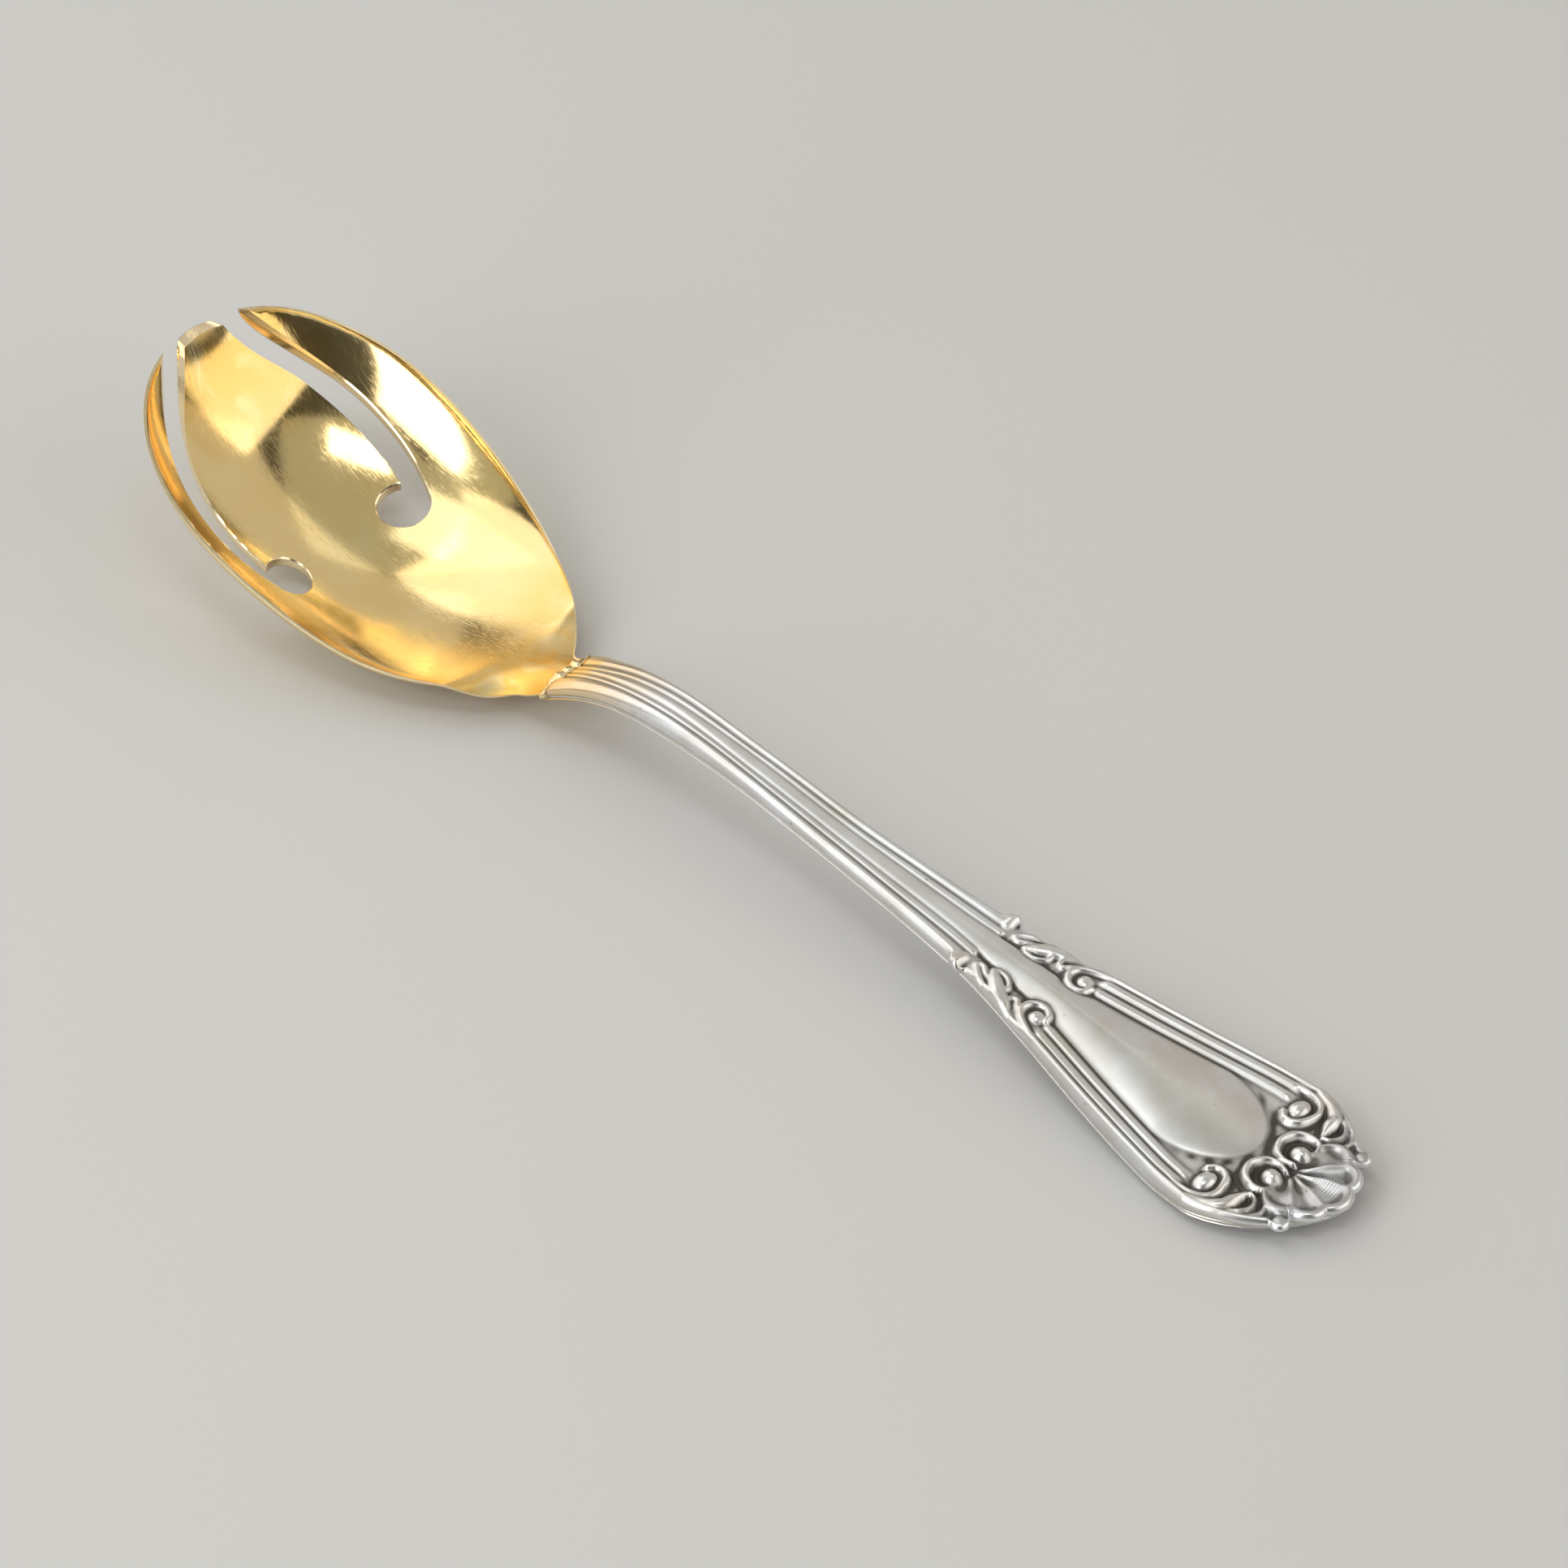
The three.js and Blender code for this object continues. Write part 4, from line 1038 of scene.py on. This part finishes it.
column = np.abs(np.arange(-front_columns, front_columns + 1))
on_rows = np.tile(column <= COLUMNS, len(front_places))
on_spokes = np.tile(np.arange(1, front_columns + 1) <= COLUMNS, TURNS - 1)
face_spots = np.nonzero(np.concatenate([on_rows, on_spokes]))[0]
# Tarnish and painted shade on the struck face, carried by the recess attribute.
tarnish_and_shade_values = np.zeros(len(front_points))
tarnish_and_shade_values[face_spots] = recess(front_outer[face_spots])
handle_front.data.attributes.new("recess", "FLOAT", "POINT").data.foreach_set("value", tarnish_and_shade_values)
handle_front.data.materials.append(silver)

# Seam. A fine line of silver solder runs round both sides and the tail between the two halves,
# filed almost level with them.
seam_places = np.concatenate([np.arange(SHELL_START, 96, 1.6), [96.5, 98.5]])
seam_turn = np.linspace(-QUARTER, QUARTER, 49)
side_run = seam_half(seam_places)
fan_run = seam_reach(seam_turn)
path_x = np.concatenate([seam_places, TAIL + fan_run * np.cos(seam_turn), seam_places[::-1]])
path_y = np.concatenate([-side_run, fan_run * np.sin(seam_turn), side_run[::-1]])
path = np.stack([path_x, path_y, seam_line(path_x)], -1)
heading = unit(np.roll(path, -1, 0) - np.roll(path, 1, 0))
heading[0], heading[-1] = heading[1], heading[-2]
outward = unit(np.stack([heading[:, 1], -heading[:, 0], 0 * path_x], -1))
SEAM_SECTION = np.array([
    [-0.5, -0.2], [-0.14, -0.26], [-0.03, -0.14], [-0.03, 0.14], [-0.14, 0.26], [-0.5, 0.2],
])
seam_rings = path[:, None] + SEAM_SECTION[:, :1] * outward[:, None]
seam_rings = seam_rings + SEAM_SECTION[:, 1:] * np.array([0, 0, 1])
seam = make_piece("seam_line", *tube(seam_rings))
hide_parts("seam_solder")


def grained(name, metallic, roughness, scale, detail, dark, light, start=0, end=1):
    """A finish with a fine grain between two colours."""
    finish, nodes, shader, place = new_finish(name, metallic)
    shader.inputs["Roughness"].default_value = roughness
    grain = add_noise(nodes, place, scale, detail)
    feed(shader, "Base Color", add_ramp(nodes, grain, dark, light, start, end))
    return finish


seam.data.materials.append(grained("solder", 1, 0.3, 700, 4, (0.6, 0.56, 0.48), (0.84, 0.82, 0.76)))

# Neck. A lumpy bead of hard solder joins the heel of the bowl to the end of the handle, run in round
# the tang. Its lumps stand on the upper side, and the bowl's gilding goes on over it.
LUMPS = np.array([[40, 0.4], [58, 0.32], [76, 0.48], [93, 0.34], [110, 0.45], [124, 0.3], [20, 0.2]])
BEAD_SIDES = 144
BEAD_MIDDLE = -35.77
bead_turn = np.linspace(0, 4 * QUARTER, BEAD_SIDES, endpoint=False)
apart = (np.degrees(bead_turn)[:, None] - LUMPS[:, 0] + 180) % 360 - 180
lump = (LUMPS[:, 1] * np.exp(-((apart / 7.5) ** 2))).sum(1)
BEAD_PROFILE = [(-36.38, 0.72, 0), (-36.38, 1, 0.05), (-36.1, 1, 0.75), (-35.85, 1, 1), (-35.55, 1, 0.9),
                (-35.22, 1, 0.4), (-35.16, 1, 0.05), (-35.16, 0.72, 0)]
bead_rings = []
for bead_x, scale, proud in BEAD_PROFILE:
    grow = proud * (0.04 + 1.4 * lump)
    spread = np.sign(bead_x - BEAD_MIDDLE) * lump * np.minimum(proud * 20, 1)
    middle = seam_line(bead_x)
    high, low = face_line(bead_x) + 0.45 - middle, middle - back_line(bead_x)
    rise = np.sin(bead_turn)
    ring_y = (scale * handle_half(np.array(bead_x)) + grow) * np.cos(bead_turn)
    ring_z = middle + rise * (np.where(rise > 0, high, low) * scale + grow)
    bead_rings.append(np.stack([bead_x + spread, ring_y, ring_z], -1))
bead_rings = np.array(bead_rings)
bead_grid = np.arange(len(bead_rings) * BEAD_SIDES).reshape(-1, BEAD_SIDES)
bead_next = np.roll(bead_grid, -1, 0)
bead_faces = quads(bead_grid, np.roll(bead_grid, -1, 1), np.roll(bead_next, -1, 1), bead_next)
bead = make_piece("neck_bead", bead_rings.reshape(-1, 3), bead_faces)
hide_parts("neck_solder")
gilt_solder = grained("gilt_solder", 1, 0.22, 800, 4, (0.86, 0.6, 0.24), (0.97, 0.82, 0.52), 0.35, 0.6)
bead.data.materials.append(gilt_solder)

# Filling. Brown cement, poured in hot, fills the hollow handle and holds the tang.
# It is hidden inside, so the solid itself stays and only takes its finish here.
cement = grained("cement", 0, 0.95, 900, 6, (0.05, 0.033, 0.022), (0.2, 0.13, 0.09))
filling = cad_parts["handle_filler"]
filling.data.materials.clear()
filling.data.materials.append(cement)

# Floor. A plain pale table top, smooth and not glossy, for the fork to lie on.
# It isn't part of the fork.
bpy.ops.mesh.primitive_plane_add(size=6, location=(0, 0, 0))
floor = bpy.context.object
floor.name = "floor"
floor.data.materials.append(grained("pale_floor", 0, 0.6, 3, 3, (0.58, 0.58, 0.575), (0.62, 0.62, 0.615)))

# Light. Soft white panels stand round the fork in a dim grey room,
# where the inside of the bowl mirrors them.
world = bpy.data.worlds.new("room")
world.use_nodes = True
world.node_tree.nodes["Background"].inputs["Color"].default_value = (0.07, 0.068, 0.06, 1)
bpy.context.scene.world = world
bpy.context.scene.view_settings.view_transform = "Standard"


def soft_panel(name, azimuth, lean, wide, tall, glow, colour):
    """A soft light panel 1.2 m away; wide and tall are the degrees that it spans, glow its brightness."""
    distance = 1.2
    light = bpy.data.lights.new(name, "AREA")
    light.shape = "RECTANGLE"
    light.size = 2 * distance * np.tan(np.radians(wide) / 2)
    light.size_y = 2 * distance * np.tan(np.radians(tall) / 2)
    light.energy = 4 * glow * light.size * light.size_y
    light.color = colour
    panel = bpy.data.objects.new(name, light)
    around, tilt = np.radians(azimuth), np.radians(lean)
    aside = np.sin(tilt)
    panel.location = distance * Vector((np.cos(around) * aside, np.sin(around) * aside, np.cos(tilt)))
    panel.rotation_euler = (-panel.location).to_track_quat("-Z", "Y").to_euler()
    bpy.context.scene.collection.objects.link(panel)


soft_panel("near_panel", 265, 70, 36, 64, 2.4, (1, 1, 1))
soft_panel("near_tip_panel", 238, 60, 15, 56, 0.3, (0.97, 1, 0.88))
soft_panel("high_tip_panel", 196, 22, 30, 15, 0.9, (0.94, 0.97, 1))
soft_panel("tip_panel", 187, 58, 62, 62, 0.95, (1, 0.96, 0.9))
soft_panel("tail_panel", 19, 61, 60, 44, 1.0, (1, 0.96, 0.9))
soft_panel("overhead_panel", 150, 5, 64, 64, 0.28, (0.98, 0.99, 0.88))
soft_panel("high_near_panel", 308, 14, 25, 12, 2.6, (1, 1, 1))
soft_panel("far_panel", 97, 57, 87, 50, 0.4, (1, 0.95, 0.88))
